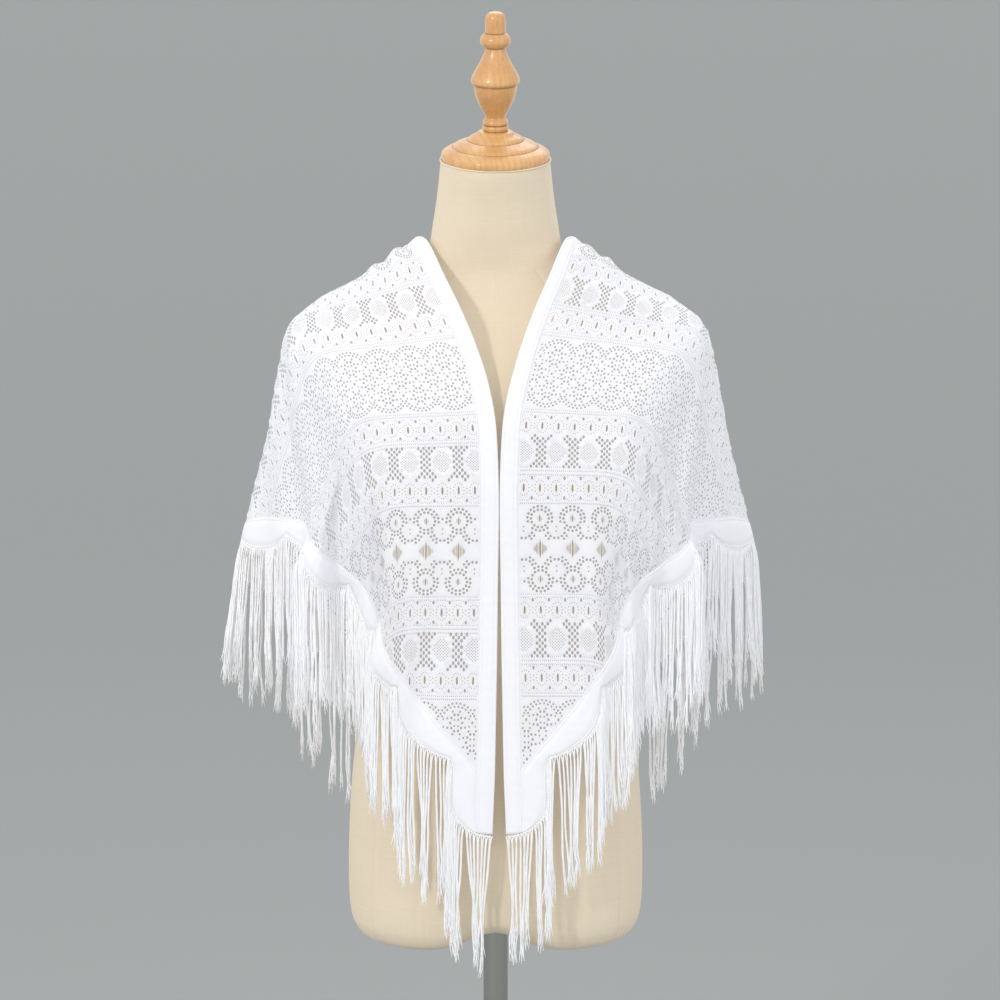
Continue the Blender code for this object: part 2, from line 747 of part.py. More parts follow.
def lace_layout(side):
    """Triangles of the flat lace with its gaps left out."""
    gaps = lace_gaps(side)
    points = [Vector(p) for p in outline_points()]
    edges = [(i, (i + 1) % len(points)) for i in range(len(points))]
    for gap in gaps:
        first = len(points)
        points += [Vector((gap.run + gap.half_run, gap.reach)),
                   Vector((gap.run, gap.reach + gap.half_reach)),
                   Vector((gap.run - gap.half_run, gap.reach)),
                   Vector((gap.run, gap.reach - gap.half_reach))]
        edges += [(first, first + 1), (first + 1, first + 2),
                  (first + 2, first + 3), (first + 3, first)]
    gap_sizes = np.array(gaps)
    for run, reach in layout_points(side):
        far = ((np.abs(gap_sizes[:, 0] - run) > gap_sizes[:, 2] + GRID_KEEP_OFF)
               | (np.abs(gap_sizes[:, 1] - reach) > gap_sizes[:, 3] + GRID_KEEP_OFF))
        if far.all():
            points.append(Vector((run, reach)))
    verts, _edges, faces, *_ids = delaunay_2d_cdt(points, edges, [], 1, 1e-6)
    kept = []
    for face in faces:
        run = sum(verts[i].x for i in face) / 3
        reach = sum(verts[i].y for i in face) / 3
        inside = (np.abs(gap_sizes[:, 0] - run) / gap_sizes[:, 2]
                  + np.abs(gap_sizes[:, 1] - reach) / gap_sizes[:, 3]) < 1.0
        if not inside.any():
            kept.append(tuple(face))
    return [(v.x, v.y) for v in verts], kept


def build_lace(side, name, material):
    """One half of the lace, a thin wall with its largest gaps cut through."""
    flat, faces = lace_layout(side)
    flat = np.array(flat)
    at_hem = np.abs(flat[:, 1] - lace_end(flat[:, 0])) < 1e-6
    nudge = np.zeros((len(flat), 3))
    nudge[at_hem] = seam_way(side, flat[at_hem, 0], lace_end) * -SEAM_GAP / 2
    verts, faces = wall_mesh(flat, faces, [side] * len(flat), LACE_WALL, nudge)
    return add_object(name, verts, faces, material)


# ------------------------------------------------------------- bands and fringe
def strip_faces(stations, columns):
    """Faces of a strip laid out as stations by columns of points."""
    faces = []
    for i in range(stations - 1):
        for j in range(columns - 1):
            a = i * columns + j
            faces.append((a, a + columns, a + columns + 1, a + 1))
    return faces


def build_neck_band(material):
    """The plain binding along the whole neck and front edge."""
    stations = [(0.0022, 0.0104)] + [(run, NECK_BAND) for run in neck_runs()[:-1]]
    stations.append((HALF_EDGE, NECK_BAND))
    flat = []
    sides = []
    for side, order in ((-1, stations), (1, stations[-2::-1])):
        for run, outer in order:
            flat += [(run, 0.0), (run, outer)]
            sides += [side, side]
    faces = strip_faces(len(flat) // 2, 2)
    verts, faces = wall_mesh(flat, faces, sides, BAND_WALL)
    return add_object("neck_band", verts, faces, material)


def build_hem_band(side, name, material):
    """The plain band above the fringe, on one side."""
    flat = []
    for run in hem_runs():
        near = max(SEAM_REACH, lace_end(run))
        flat += [(run, near), (run, max(float(hem_reach(run)), near + 0.0008))]
    faces = strip_faces(len(flat) // 2, 2)
    flat = np.array(flat)
    at_lace = np.abs(flat[:, 1] - lace_end(flat[:, 0])) < 1e-9
    nudge = np.zeros((len(flat), 3))
    nudge[at_lace] = seam_way(side, flat[at_lace, 0], lace_end) * SEAM_GAP / 2
    verts, faces = wall_mesh(flat, faces, [side] * len(flat), BAND_WALL, nudge)
    return add_object(name, verts, faces, material)


def strand_ring(centre, along, across):
    """Three corners of a strand's section."""
    return [centre - along + across * 0.6, centre + along + across * 0.6,
            centre - across * 1.1]


def part_strands(knees, tips, strip, ahead):
    """Move strands sideways until they hang clear of each other and of the strip."""
    for _turn in range(PARTING_TURNS):
        push = np.zeros((len(knees), 2))
        for i, (knee, tip) in enumerate(zip(knees, tips)):
            for ends in (knees, tips):
                gap = ends[i, :2] - ends[:, :2]
                size = np.linalg.norm(gap, axis=1)
                size[i] = 1.0
                near = size < STRAND_APART
                short = np.where(near, STRAND_APART - size, 0.0) * 0.3
                push[i] += (gap / np.maximum(size, 1e-5)[:, None] * short[:, None]).sum(axis=0)
            passed = (strip[:, 2] < knee[2] - 0.001) & (strip[:, 2] > tip[2])
            if passed.any():
                share = ((knee[2] - strip[passed, 2]) / (knee[2] - tip[2]))[:, None]
                there = knee[:2] * (1 - share) + tip[:2] * share
                size = np.linalg.norm(there - strip[passed, :2], axis=1)
                short = STRIP_APART - size.min()
                if short > 0.0:
                    push[i] += ahead[i] * short * 0.5
        knees[:, :2] += push
        tips[:, :2] += push
    return knees, tips


def standing_apart(sill, roots, knees, tips, away):
    """Which strands to keep: none that leaves the hem sideways or crowds a neighbour."""
    share = np.linspace(0.0, 1.0, 13)[:, None]
    kept = []
    lines = []
    strip = np.vstack([sill, roots])
    places = np.concatenate([np.arange(len(sill)) - 0.5, np.arange(len(roots))])
    for i, (root, knee, tip) in enumerate(zip(roots, knees, tips)):
        line = np.vstack([root + (knee - root) * share, knee + (tip - knee) * share ** 2])
        others = strip[np.abs(places - i) > 0.9]
        stub = (knee - root) / np.linalg.norm(knee - root)
        keep = away[i, 2] < STEEPEST_AWAY and np.dot(stub, away[i]) > LEAST_LEAVING
        keep = keep and np.linalg.norm(line[:, None] - others[None], axis=2).min() > STRIP_CLEAR
        for other in lines:
            gaps = np.linalg.norm(line[:, None] - other[None], axis=2)
            keep = keep and gaps.min() > STRAND_CLEAR
        if keep:
            lines.append(line)
        kept.append(keep)
    return kept


def build_fringe(side, name, material):
    """Narrow strip along the hem with the strands hanging from it."""
    rng = random.Random(7 + side)
    runs = np.array([TIP_FIRST_RUN] + hem_runs())
    hem = drape(side, runs, hem_reach(runs))
    normal = drape_normal(side, runs, hem_reach(runs))
    away = seam_way(side, runs, hem_reach)
    crown = hem + away * SEAM_GAP * 1.5
    sill = hem + away * (SEAM_GAP + STRIP_DEPTH)
    front = sill + normal * STRIP_WIDTH / 2
    rear = sill - normal * STRIP_WIDTH / 2
    middles = (sill[1:] + sill[:-1]) / 2
    level_normal = (normal[1:, :2] + normal[:-1, :2])
    level_normal /= np.linalg.norm(level_normal, axis=1, keepdims=True)
    outside = middles[:, :2] / np.linalg.norm(middles[:, :2], axis=1, keepdims=True)
    knees = middles + (away[1:] + away[:-1]) / 2 * ELBOW_REACH
    knees[:, :2] += level_normal * ELBOW_AHEAD
    knees[:, 2] -= ELBOW_DROP
    tips = knees.copy()
    for tip in tips:
        tip += (rng.uniform(-1, 1) * STRAND_SWAY, rng.uniform(-1, 1) * STRAND_SWAY,
                -rng.uniform(*STRAND_LENGTH))
    strip = np.vstack([sill, middles])
    knees, tips = part_strands(knees, tips, strip, outside)
    away_there = (away[1:] + away[:-1]) / 2
    kept = standing_apart(sill, middles, knees, tips, away_there)
    verts = [place for station in zip(crown, front, rear) for place in station]
    faces = [(0, 1, 2)]
    for i in range(len(runs) - 1):
        a = i * 3
        b = a + 3
        faces += [(a, b, b + 1, a + 1), (a, a + 2, b + 2, b)]
        if not kept[i]:
            faces.append((a + 1, b + 1, b + 2, a + 2))
            continue
        along = sill[i + 1] - sill[i]
        along *= STRAND_WIDTH / 2 / np.linalg.norm(along)
        across = (normal[i] + normal[i + 1]) * STRAND_WIDTH / 4
        falling = Vector(away[i] + away[i + 1]).rotation_difference(DOWN)
        hung_along = np.array(falling @ Vector(along))
        hung_across = np.array(falling @ Vector(across))
        first = len(verts)
        verts += strand_ring((front[i] + front[i + 1] + rear[i] + rear[i + 1]) / 4, along, across)
        verts += strand_ring(knees[i], hung_along, hung_across)
        verts += strand_ring(tips[i], hung_along * 0.7, hung_across * 0.7)
        faces += [(a + 1, b + 1, first + 1, first), (b + 1, b + 2, first + 1),
                  (b + 2, first + 2, first + 1), (b + 2, a + 2, first + 2),
                  (a + 2, first, first + 2), (a + 2, a + 1, first)]
        for ring in (first, first + 3):
            for k in range(3):
                m = (k + 1) % 3
                faces.append((ring + k, ring + m, ring + 3 + m, ring + 3 + k))
        faces.append((first + 6, first + 7, first + 8))
    last = len(runs) - 1
    faces.append((last * 3, last * 3 + 2, last * 3 + 1))
    return add_object(name, verts, faces, material)


def main():
    """Clear the scene and build every piece."""
    for old in list(bpy.data.objects):
        bpy.data.objects.remove(old, do_unlink=True)
    lace = new_material("white_lace", (0.90, 0.90, 0.92), 0.85, 0.0)
    binding = new_material("white_binding", (0.88, 0.88, 0.91), 0.80, 0.0)
    thread = new_material("white_thread", (0.90, 0.90, 0.90), 0.70, 0.0)
    linen = new_material("cream_linen", (0.82, 0.72, 0.57), 0.90, 0.0)
    wood = new_material("oiled_wood", (0.66, 0.38, 0.16), 0.45, 0.0)
    steel = new_material("polished_steel", (0.62, 0.62, 0.63), 0.18, 1.0)
    build_form(linen)
    build_stand(wood, steel)
    build_neck_band(binding)
    for side, word in ((-1, "left"), (1, "right")):
        build_lace(side, "lace_" + word, lace)
        build_hem_band(side, "hem_band_" + word, binding)
        build_fringe(side, "fringe_" + word, thread)


main()
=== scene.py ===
"""Looks of a triangular lace shawl with a long fringe, worn on a linen dress form.

Metres, +Z up, the front towards -Y, the origin under the middle of the base.

Every point of the cloth has a place in the flat triangle: run, measured along its
long side from a front tip, and reach, measured squarely away from that side.
Drape takes run and reach to the place where the cloth hangs. Left is the side at -X.
"""

import logging
import math
import random
from collections.abc import Callable, Iterable, Sequence
from dataclasses import dataclass
from enum import Enum
from functools import cached_property
from typing import NamedTuple

import bmesh
import bpy
import numpy as np
from bpy.types import Material, Node, NodeOutputs, NodeSocket, NodeTree, Object
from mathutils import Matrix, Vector
from mathutils.geometry import delaunay_2d_cdt
from mathutils.kdtree import KDTree


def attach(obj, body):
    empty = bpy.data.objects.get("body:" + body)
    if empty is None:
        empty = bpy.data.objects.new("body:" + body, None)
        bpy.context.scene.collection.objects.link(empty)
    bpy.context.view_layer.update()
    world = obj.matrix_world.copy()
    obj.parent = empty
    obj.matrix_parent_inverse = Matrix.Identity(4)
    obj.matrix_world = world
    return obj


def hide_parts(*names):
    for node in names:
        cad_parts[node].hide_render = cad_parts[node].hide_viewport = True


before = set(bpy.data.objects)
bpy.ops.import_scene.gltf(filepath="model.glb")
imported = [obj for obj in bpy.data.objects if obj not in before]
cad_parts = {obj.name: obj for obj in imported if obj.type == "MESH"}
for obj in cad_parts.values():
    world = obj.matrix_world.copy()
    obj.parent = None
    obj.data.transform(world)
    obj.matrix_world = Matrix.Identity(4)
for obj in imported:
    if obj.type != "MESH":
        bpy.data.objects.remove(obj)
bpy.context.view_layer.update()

Array = np.ndarray
MM = 0.001
log = logging.getLogger("shawl")


class Side(Enum):
    """Half of the shawl, by the side it lies on."""

    LEFT = -1
    RIGHT = 1

    @property
    def word(self) -> str:
        """Name of the side in node names."""
        return self.name.lower()


# ---- shader nodes
class Graph:
    """Adds and joins nodes of one shader tree."""

    def __init__(self, tree: NodeTree) -> None:
        """Keep the tree that the nodes go into."""
        self.tree = tree

    def put(self, socket: NodeSocket, value: object) -> None:
        """Join a socket to another one, or set it to a plain value.

        Args:
            socket: The socket to fill.
            value: A socket or a plain value.
        """
        if isinstance(value, NodeSocket):
            self.tree.links.new(value, socket)
        else:
            socket.default_value = value

    def add(self, kind: str, inputs: dict[int | str, object] | None = None,
            **settings: object) -> NodeOutputs:
        """Add a node.

        Args:
            kind: The node's type name without the ShaderNode in front.
            inputs: What goes into its inputs, by number or name.
            **settings: Values for the node's own properties.

        Returns:
            The node's outputs.
        """
        node = self.tree.nodes.new("ShaderNode" + kind)
        for name, value in settings.items():
            setattr(node, name, value)
        for key, value in (inputs or {}).items():
            self.put(node.inputs[key], value)
        return node.outputs

    def maths(self, operation: str, *values: object) -> NodeSocket:
        """Join values by a sum, such as MULTIPLY."""
        return self.add("Math", dict(enumerate(values)), operation=operation)[0]

    def noise(self, vector: object, scale: object, detail: float = 2.0) -> NodeSocket:
        """Noise from 0 to 1."""
        return self.add("TexNoise", {"Vector": vector, "Scale": scale, "Detail": detail})[0]

    def stretch(self, vector: object, scale: tuple[float, ...]) -> NodeSocket:
        """Scale a vector by three factors."""
        return self.add("Mapping", {"Vector": vector, "Scale": scale})[0]

    def parts(self, vector: object) -> NodeOutputs:
        """Split a vector into its three numbers."""
        return self.add("SeparateXYZ", {0: vector})

    def layout(self, name: str) -> NodeSocket:
        """Read a layout of the mesh."""
        return self.add("UVMap", uv_map=name)[0]

    def span(self, value: object, low: float, high: float, to_low: float,
             to_high: float) -> NodeSocket:
        """Map a value from one range to another, clamped."""
        return self.add("MapRange", dict(enumerate((value, low, high, to_low, to_high))))[0]

    def blend(self, share: object, first: object, second: object) -> NodeSocket:
        """Mix two colours by a share from 0 to 1."""
        return self.add("Mix", {0: share, 6: first, 7: second}, data_type="RGBA")[2]


def new_group(name: str, *numbers: str) -> tuple[Graph, NodeOutputs]:
    """Start a shader node group that takes Place, a vector, and some numbers.

    Args:
        name: The group's name.
        *numbers: Names of the numbers.

    Returns:
        The group's graph, and what it takes.
    """
    group = bpy.data.node_groups.new(name, "ShaderNodeTree")
    for word in ("Place", *numbers):
        kind = "NodeSocketVector" if word == "Place" else "NodeSocketFloat"
        group.interface.new_socket(name=word, in_out="INPUT", socket_type=kind)
    return Graph(group), group.nodes.new("NodeGroupInput").outputs


def end_group(graph: Graph, **gives: NodeSocket) -> NodeTree:
    """End a shader node group.

    Args:
        graph: The group's graph.
        **gives: The numbers that it gives, by name.

    Returns:
        The group.
    """
    for word in gives:
        graph.tree.interface.new_socket(name=word, in_out="OUTPUT",
                                        socket_type="NodeSocketFloat")
    end = graph.tree.nodes.new("NodeGroupOutput")
    for word, socket in gives.items():
        graph.put(end.inputs[word], socket)
    return graph.tree


def stitches_group() -> NodeTree:
    """Rows of knitted stitches over a flat layout.

    Returns:
        A group from Place and two pitches in metres to Height and Tone.
    """
    graph, takes = new_group("knit_stitches", "Pitch Along", "Pitch Across")
    parts = graph.parts(takes["Place"])
    rows = graph.maths("DIVIDE", parts[0], takes["Pitch Along"])
    columns = graph.maths("DIVIDE", parts[1], takes["Pitch Across"])
    lean = graph.maths("PINGPONG", rows, 0.5)
    column = graph.maths("SINE", graph.maths("MULTIPLY", graph.maths(
        "ADD", columns, graph.maths("MULTIPLY", lean, 0.5)), 2 * math.pi))
    row = graph.maths("SINE", graph.maths("MULTIPLY", rows, 2 * math.pi))
    height = graph.maths("ADD", graph.maths("MULTIPLY", column, 0.32),
                         graph.maths("MULTIPLY_ADD", row, 0.18, 0.5))
    fuzz = graph.noise(takes["Place"], 900.0, 1.0)
    return end_group(graph, Height=graph.maths("MULTIPLY_ADD", fuzz, 0.35, height),
                     Tone=graph.noise(takes["Place"], 38.0, 3.0))


def linen_group() -> NodeTree:
    """Plain weave with thick and thin threads.

    Returns:
        A group from Place to Height, Slub and Tone.
    """
    graph, takes = new_group("linen_weave", "Thread")
    place = takes["Place"]
    warp, weft = (graph.maths("SINE", graph.maths("MULTIPLY", graph.maths(
        "DIVIDE", part, takes["Thread"]), 2 * math.pi))
        for part in list(graph.parts(place))[:2])
    weave = graph.maths("MULTIPLY_ADD", graph.maths("MULTIPLY", warp, weft), 0.25, 0.5)
    slub = graph.noise(graph.stretch(place, (14.0, 640.0, 14.0)), 1.0, 4.0)
    upright = graph.noise(graph.stretch(place, (520.0, 11.0, 11.0)), 1.0, 3.0)
    streaks = graph.maths("MULTIPLY_ADD", upright, 0.4, graph.maths("MULTIPLY", slub, 0.6))
    return end_group(graph, Height=graph.maths("MULTIPLY_ADD", streaks, 1.2, weave),
                     Slub=graph.span(streaks, 0.36, 0.66, 0.0, 1.0),
                     Tone=graph.noise(place, 7.0, 3.0))


def grain_group() -> NodeTree:
    """Grain of turned wood that runs up the piece.

    Returns:
        A group from Place to Rings, Pores and Tone.
    """
    graph, takes = new_group("turned_grain", "Ring Width")
    place = takes["Place"]
    parts = graph.parts(place)
    waver = graph.noise(graph.stretch(place, (26.0, 26.0, 5.0)), 1.0, 3.0)
    off = graph.maths("MULTIPLY_ADD", waver, 0.020, graph.maths(
        "MULTIPLY_ADD", parts[1], 0.35, parts[0]))
    rings = graph.maths("SINE", graph.maths("MULTIPLY", graph.maths(
        "DIVIDE", off, takes["Ring Width"]), 2 * math.pi))
    pores = graph.noise(graph.stretch(place, (900.0, 900.0, 45.0)), 1.0, 2.0)
    return end_group(graph, Rings=graph.maths("MULTIPLY_ADD", rings, 0.5, 0.5),
                     Pores=graph.span(pores, 0.56, 0.72, 0.0, 1.0),
                     Tone=graph.noise(place, 30.0, 4.0))


def handling_group() -> NodeTree:
    """Faint smudges and fine scratches of a handled surface.

    Returns:
        A group from Place to Smudge and Scratch.
    """
    graph, takes = new_group("handling", "Scale")
    place = takes["Place"]
    return end_group(graph, Smudge=graph.noise(place, takes["Scale"], 5.0),
                     Scratch=graph.noise(graph.stretch(place, (1400.0, 1400.0, 16.0)),
                                         1.0, 2.0))


class Workshop:
    """The node groups, each built once."""

    def __init__(self) -> None:
        """Build the groups."""
        self.stitches = stitches_group()
        self.linen = linen_group()
        self.grain = grain_group()
        self.handling = handling_group()


@dataclass(frozen=True)
class Paint:
    """A material with a Principled shader, before its nodes are added."""

    name: str
    roughness: float
    metallic: float = 0.0
    sheen: float = 0.0
    sheen_roughness: float = 0.45
    coat: float = 0.0
    coat_roughness: float = 0.16

    def start(self) -> tuple[Material, Graph, Node]:
        """Make the material and its shader.

        Returns:
            The material, its graph and its Principled node.
        """
        material = bpy.data.materials.new(self.name)
        material.use_nodes = True
        graph = Graph(material.node_tree)
        shader = material.node_tree.nodes["Principled BSDF"]
        for socket, value in (
                ("Roughness", self.roughness), ("Metallic", self.metallic),
                ("Sheen Weight", self.sheen), ("Sheen Roughness", self.sheen_roughness),
                ("Coat Weight", self.coat), ("Coat Roughness", self.coat_roughness)):
            shader.inputs[socket].default_value = value
        return material, graph, shader


def use_group(graph: Graph, group: NodeTree, **inputs: object) -> NodeOutputs:
    """Place a node group, with inputs by socket name and _ for a space."""
    return graph.add("Group", {name.replace("_", " "): value for name, value in inputs.items()},
                     node_tree=group)


def add_bump(graph: Graph, shader: Node, height: object, depth: float, strength: float) -> None:
    """Join a height to the shader's normal; a height of 1 stands out by depth."""
    bump = graph.add("Bump", {"Height": height, "Strength": strength, "Distance": depth})
    graph.put(shader.inputs["Normal"], bump["Normal"])


# Tint of a painted glow: the white cloth and thread give off a faint bluish light that lifts
# their shade, though they are no lamps.
PAINTED_GLOW_TINT = (0.90, 0.92, 1.0, 1.0)


@dataclass(frozen=True)
class ClothFinish:
    """White knitted cloth, sheer and crossed by fine net where it is lace, with a faint painted
    glow that lifts its shade.
    """

    name: str
    light: tuple[float, float, float]
    dark: tuple[float, float, float]
    stitch_along: float
    stitch_across: float
    relief: float
    sheer: float = 0.0
    roughness: float = 0.82
    sheen: float = 0.25
    # Strength of the painted glow that lifts the cloth's shade, and the extra painted glow of
    # its back faces, which lights the form under the lace.
    painted_glow: float = 0.09
    painted_glow_inside: float = 0.0
    # Colour of the fine net: painted shade, a bluish grey standing for fine white threads in
    # shadow.
    net: tuple[float, float, float] = (0.49, 0.525, 0.615)
    net_cover: float = 0.42

    def material(self, shop: Workshop) -> Material:
        """Make the material, laid out by the flat cloth.

        Args:
            shop: The node groups.

        Returns:
            The material.
        """
        material, graph, shader = Paint(self.name, self.roughness, sheen=self.sheen).start()
        knit = use_group(graph, shop.stitches, Place=graph.layout("flat"),
                         Pitch_Along=self.stitch_along, Pitch_Across=self.stitch_across)
        height = knit["Height"]
        # Colour is random tone with painted shade mixed in: the low parts of the stitches come
        # out darker.
        share = graph.maths("MULTIPLY_ADD", knit["Tone"], 0.7,
                            graph.maths("MULTIPLY", height, 0.3))
        white = graph.blend(graph.span(share, 0.25, 0.62, 0.0, 1.0), (*self.dark, 1.0),
                            (*self.light, 1.0))
        # Painted glow: emission that lifts the shade, stronger on back faces so the lace lights
        # the form under it.
        glow: object = self.painted_glow
        if self.painted_glow_inside:
            back = graph.add("NewGeometry")["Backfacing"]
            glow = graph.maths("MULTIPLY_ADD", back, self.painted_glow_inside, self.painted_glow)
        if self.sheer:
            solid, netted, _ = graph.parts(graph.layout("solid"))
            pore = graph.maths("MULTIPLY", graph.span(height, 0.50, 0.80, self.sheer, 0.0),
                               graph.maths("SUBTRACT", 1.0, solid))
            graph.put(shader.inputs["Alpha"], graph.maths(
                "MULTIPLY", graph.maths("SUBTRACT", 1.0, pore),
                graph.maths("MULTIPLY_ADD", netted, self.net_cover - 1.0, 1.0)))
            # The fine net takes the painted shade colour and no painted glow.
            white = graph.blend(netted, white, (*self.net, 1.0))
            glow = graph.maths("MULTIPLY", glow, graph.maths("SUBTRACT", 1.0, netted))
        graph.put(shader.inputs["Base Color"], white)
        graph.put(shader.inputs["Roughness"], graph.span(
            height, 0.0, 1.0, self.roughness + 0.08, self.roughness - 0.06))
        graph.put(shader.inputs["Emission Color"], PAINTED_GLOW_TINT)
        graph.put(shader.inputs["Emission Strength"], glow)
        add_bump(graph, shader, height, self.relief, 0.75)
        return material


@dataclass(frozen=True)
class ThreadFinish:
    """Twisted fringe thread with a soft shine and a faint painted glow that lifts its shade."""

    name: str
    light: tuple[float, float, float]
    dark: tuple[float, float, float]
    twist: float = 0.0042
    # Strength of the painted glow that lifts the thread's shade.
    painted_glow: float = 0.14

    def material(self, shop: Workshop) -> Material:
        """Make the material; the layout runs round and down each thread.

        Args:
            shop: The node groups.

        Returns:
            The material.
        """
        material, graph, shader = Paint(self.name, 0.58, sheen=0.35).start()
        knit = use_group(graph, shop.stitches, Place=graph.layout("flat"),
                         Pitch_Along=self.twist, Pitch_Across=self.twist * 2.0)
        graph.put(shader.inputs["Base Color"], graph.blend(
            graph.span(knit["Tone"], 0.3, 0.7, 0.0, 1.0),
            (*self.dark, 1.0), (*self.light, 1.0)))
        graph.put(shader.inputs["Roughness"], graph.span(knit["Height"], 0.0, 1.0, 0.70, 0.48))
        # Painted glow that lifts the thread's shade.
        graph.put(shader.inputs["Emission Color"], PAINTED_GLOW_TINT)
        graph.put(shader.inputs["Emission Strength"], self.painted_glow)
        add_bump(graph, shader, knit["Height"], 0.00025, 0.8)
        return material


@dataclass(frozen=True)
class LinenFinish:
    """Cream linen of the form's cover."""

    name: str = "cream_linen_cover"
    light: tuple[float, float, float] = (0.83, 0.715, 0.545)
    dark: tuple[float, float, float] = (0.77, 0.65, 0.485)
    thread: float = 0.0011

    def material(self, shop: Workshop) -> Material:
        """Make the material, laid out round the form and up it.

        Args:
            shop: The node groups.

        Returns:
            The material.
        """
        material, graph, shader = Paint(self.name, 0.88, sheen=0.15).start()
        weave = use_group(graph, shop.linen, Place=graph.layout("flat"), Thread=self.thread)
        share = graph.maths("MULTIPLY_ADD", weave["Slub"], 0.45,
                            graph.maths("MULTIPLY", weave["Tone"], 0.75))
        graph.put(shader.inputs["Base Color"], graph.blend(
            graph.span(share, 0.2, 0.9, 0.0, 1.0), (*self.dark, 1.0), (*self.light, 1.0)))
        graph.put(shader.inputs["Roughness"], graph.span(weave["Slub"], 0.0, 1.0, 0.94, 0.80))
        add_bump(graph, shader, weave["Height"], 0.0003, 0.4)
        return material


@dataclass(frozen=True)
class WoodFinish:
    """Oiled light wood, turned, with painted shade along its grooves."""

    name: str = "oiled_turned_wood"
    light: tuple[float, float, float] = (0.80, 0.47, 0.20)
    middle: tuple[float, float, float] = (0.62, 0.31, 0.108)
    dark: tuple[float, float, float] = (0.26, 0.105, 0.032)
    ring_width: float = 0.0065

    def material(self, shop: Workshop) -> Material:
        """Make the material in the piece's own space.

        Args:
            shop: The node groups.

        Returns:
            The material.
        """
        material, graph, shader = Paint(self.name, 0.34, coat=0.35).start()
        grain = use_group(graph, shop.grain, Place=graph.add("TexCoord")["Object"],
                          Ring_Width=self.ring_width)
        body = graph.blend(graph.span(grain["Tone"], 0.3, 0.7, 0.0, 1.0),
                           (*self.middle, 1.0), (*self.light, 1.0))
        ringed = graph.blend(graph.maths("MULTIPLY", graph.maths(
            "POWER", grain["Rings"], 3.0), 0.45), body, (*self.middle, 1.0))
        pored = graph.blend(graph.maths("MULTIPLY", grain["Pores"], 0.35),
                            ringed, (*self.dark, 1.0))
        # Painted shade: the grooves of the turning are darkened along a thin line.
        shaded_groove = graph.parts(graph.layout("shaded_groove"))[0]
        graph.put(shader.inputs["Base Color"], graph.blend(
            graph.maths("MULTIPLY", shaded_groove, 0.8), pored, (*self.dark, 1.0)))
        graph.put(shader.inputs["Roughness"], graph.span(grain["Pores"], 0.0, 1.0, 0.30, 0.55))
        add_bump(graph, shader, graph.maths("SUBTRACT", 1.0, grain["Pores"]), 0.00015, 0.5)
        return material


@dataclass(frozen=True)
class SteelFinish:
    """Polished steel with faint handling marks."""

    name: str
    colour: tuple[float, float, float]
    polish: float

    def material(self, shop: Workshop) -> Material:
        """Make the material in the piece's own space.

        Args:
            shop: The node groups.

        Returns:
            The material.
        """
        material, graph, shader = Paint(self.name, self.polish, metallic=1.0).start()
        marks = use_group(graph, shop.handling, Place=graph.add("TexCoord")["Object"],
                          Scale=14.0)
        dull = tuple(channel * 0.82 for channel in self.colour)
        graph.put(shader.inputs["Base Color"], graph.blend(
            marks["Smudge"], (*dull, 1.0), (*self.colour, 1.0)))
        graph.put(shader.inputs["Roughness"], graph.maths(
            "MULTIPLY_ADD", marks["Scratch"], 0.05, graph.maths(
                "MULTIPLY_ADD", marks["Smudge"], 0.10, self.polish - 0.05)))
        add_bump(graph, shader, marks["Scratch"], 0.00003, 0.3)
        return material


@dataclass(frozen=True)
class WallFinish:
    """Matt paper of the floor and backdrop."""

    name: str = "studio_paper"
    upright: tuple[float, float, float] = (0.400, 0.419, 0.412)
    level: tuple[float, float, float] = (0.341, 0.356, 0.350)

    def material(self) -> Material:
        """Make the material, a little darker where it lies level in the light."""
        material, graph, shader = Paint(self.name, 0.95).start()
        steep = graph.maths("ABSOLUTE", graph.parts(graph.add("NewGeometry")["Normal"])[2])
        graph.put(shader.inputs["Base Color"], graph.blend(
            steep, (*self.upright, 1.0), (*self.level, 1.0)))
        return material


# ---- mesh helpers
def add_piece(name: str, verts: Array, faces: Iterable[Sequence[int]], material: Material,
              flat: Array | None = None) -> Object:
    """Make a mesh object with smooth shading.

    Args:
        name: The object's name.
        verts: Its vertices.
        faces: Its faces.
        material: Its material.
        flat: A layout place for each vertex, in metres.

    Returns:
        The object, in the scene.
    """
    mesh = bpy.data.meshes.new(name)
    mesh.from_pydata(np.asarray(verts, dtype=float).tolist(), [], [list(f) for f in faces])
    mesh.materials.append(material)
    mesh.shade_smooth()
    if flat is not None:
        layer = mesh.uv_layers.new(name="flat")
        corners = np.empty(len(mesh.loops), dtype=np.int32)
        mesh.loops.foreach_get("vertex_index", corners)
        layer.data.foreach_set("uv", np.asarray(flat, dtype=np.float32)[corners].ravel())
    mesh.validate()
    piece = bpy.data.objects.new(name, mesh)
    bpy.context.collection.objects.link(piece)
    return piece


def add_mask(piece: Object, name: str, values: Array) -> None:
    """Add a layout whose first number is a value of each vertex.

    Args:
        piece: The piece.
        name: The layout's name.
        values: A value for each vertex.
    """
    mesh = piece.data
    corners = np.empty(len(mesh.loops), dtype=np.int32)
    mesh.loops.foreach_get("vertex_index", corners)
    row = np.asarray(values, dtype=np.float32)[corners]
    layer = mesh.uv_layers.new(name=name)
    layer.data.foreach_set("uv", np.stack([row, np.zeros_like(row)], -1).ravel())


def grid_faces(rows: int, columns: int) -> Array:
    """Four-sided faces between closed rows of points.

    Args:
        rows: How many rows.
        columns: How many points in each.

    Returns:
        An array of four vertex numbers a face.
    """
    i, j = np.meshgrid(np.arange(rows - 1), np.arange(columns), indexing="ij")
    k = (j + 1) % columns
    return np.stack([i * columns + j, i * columns + k,
                     (i + 1) * columns + k, (i + 1) * columns + j], axis=-1).reshape(-1, 4)


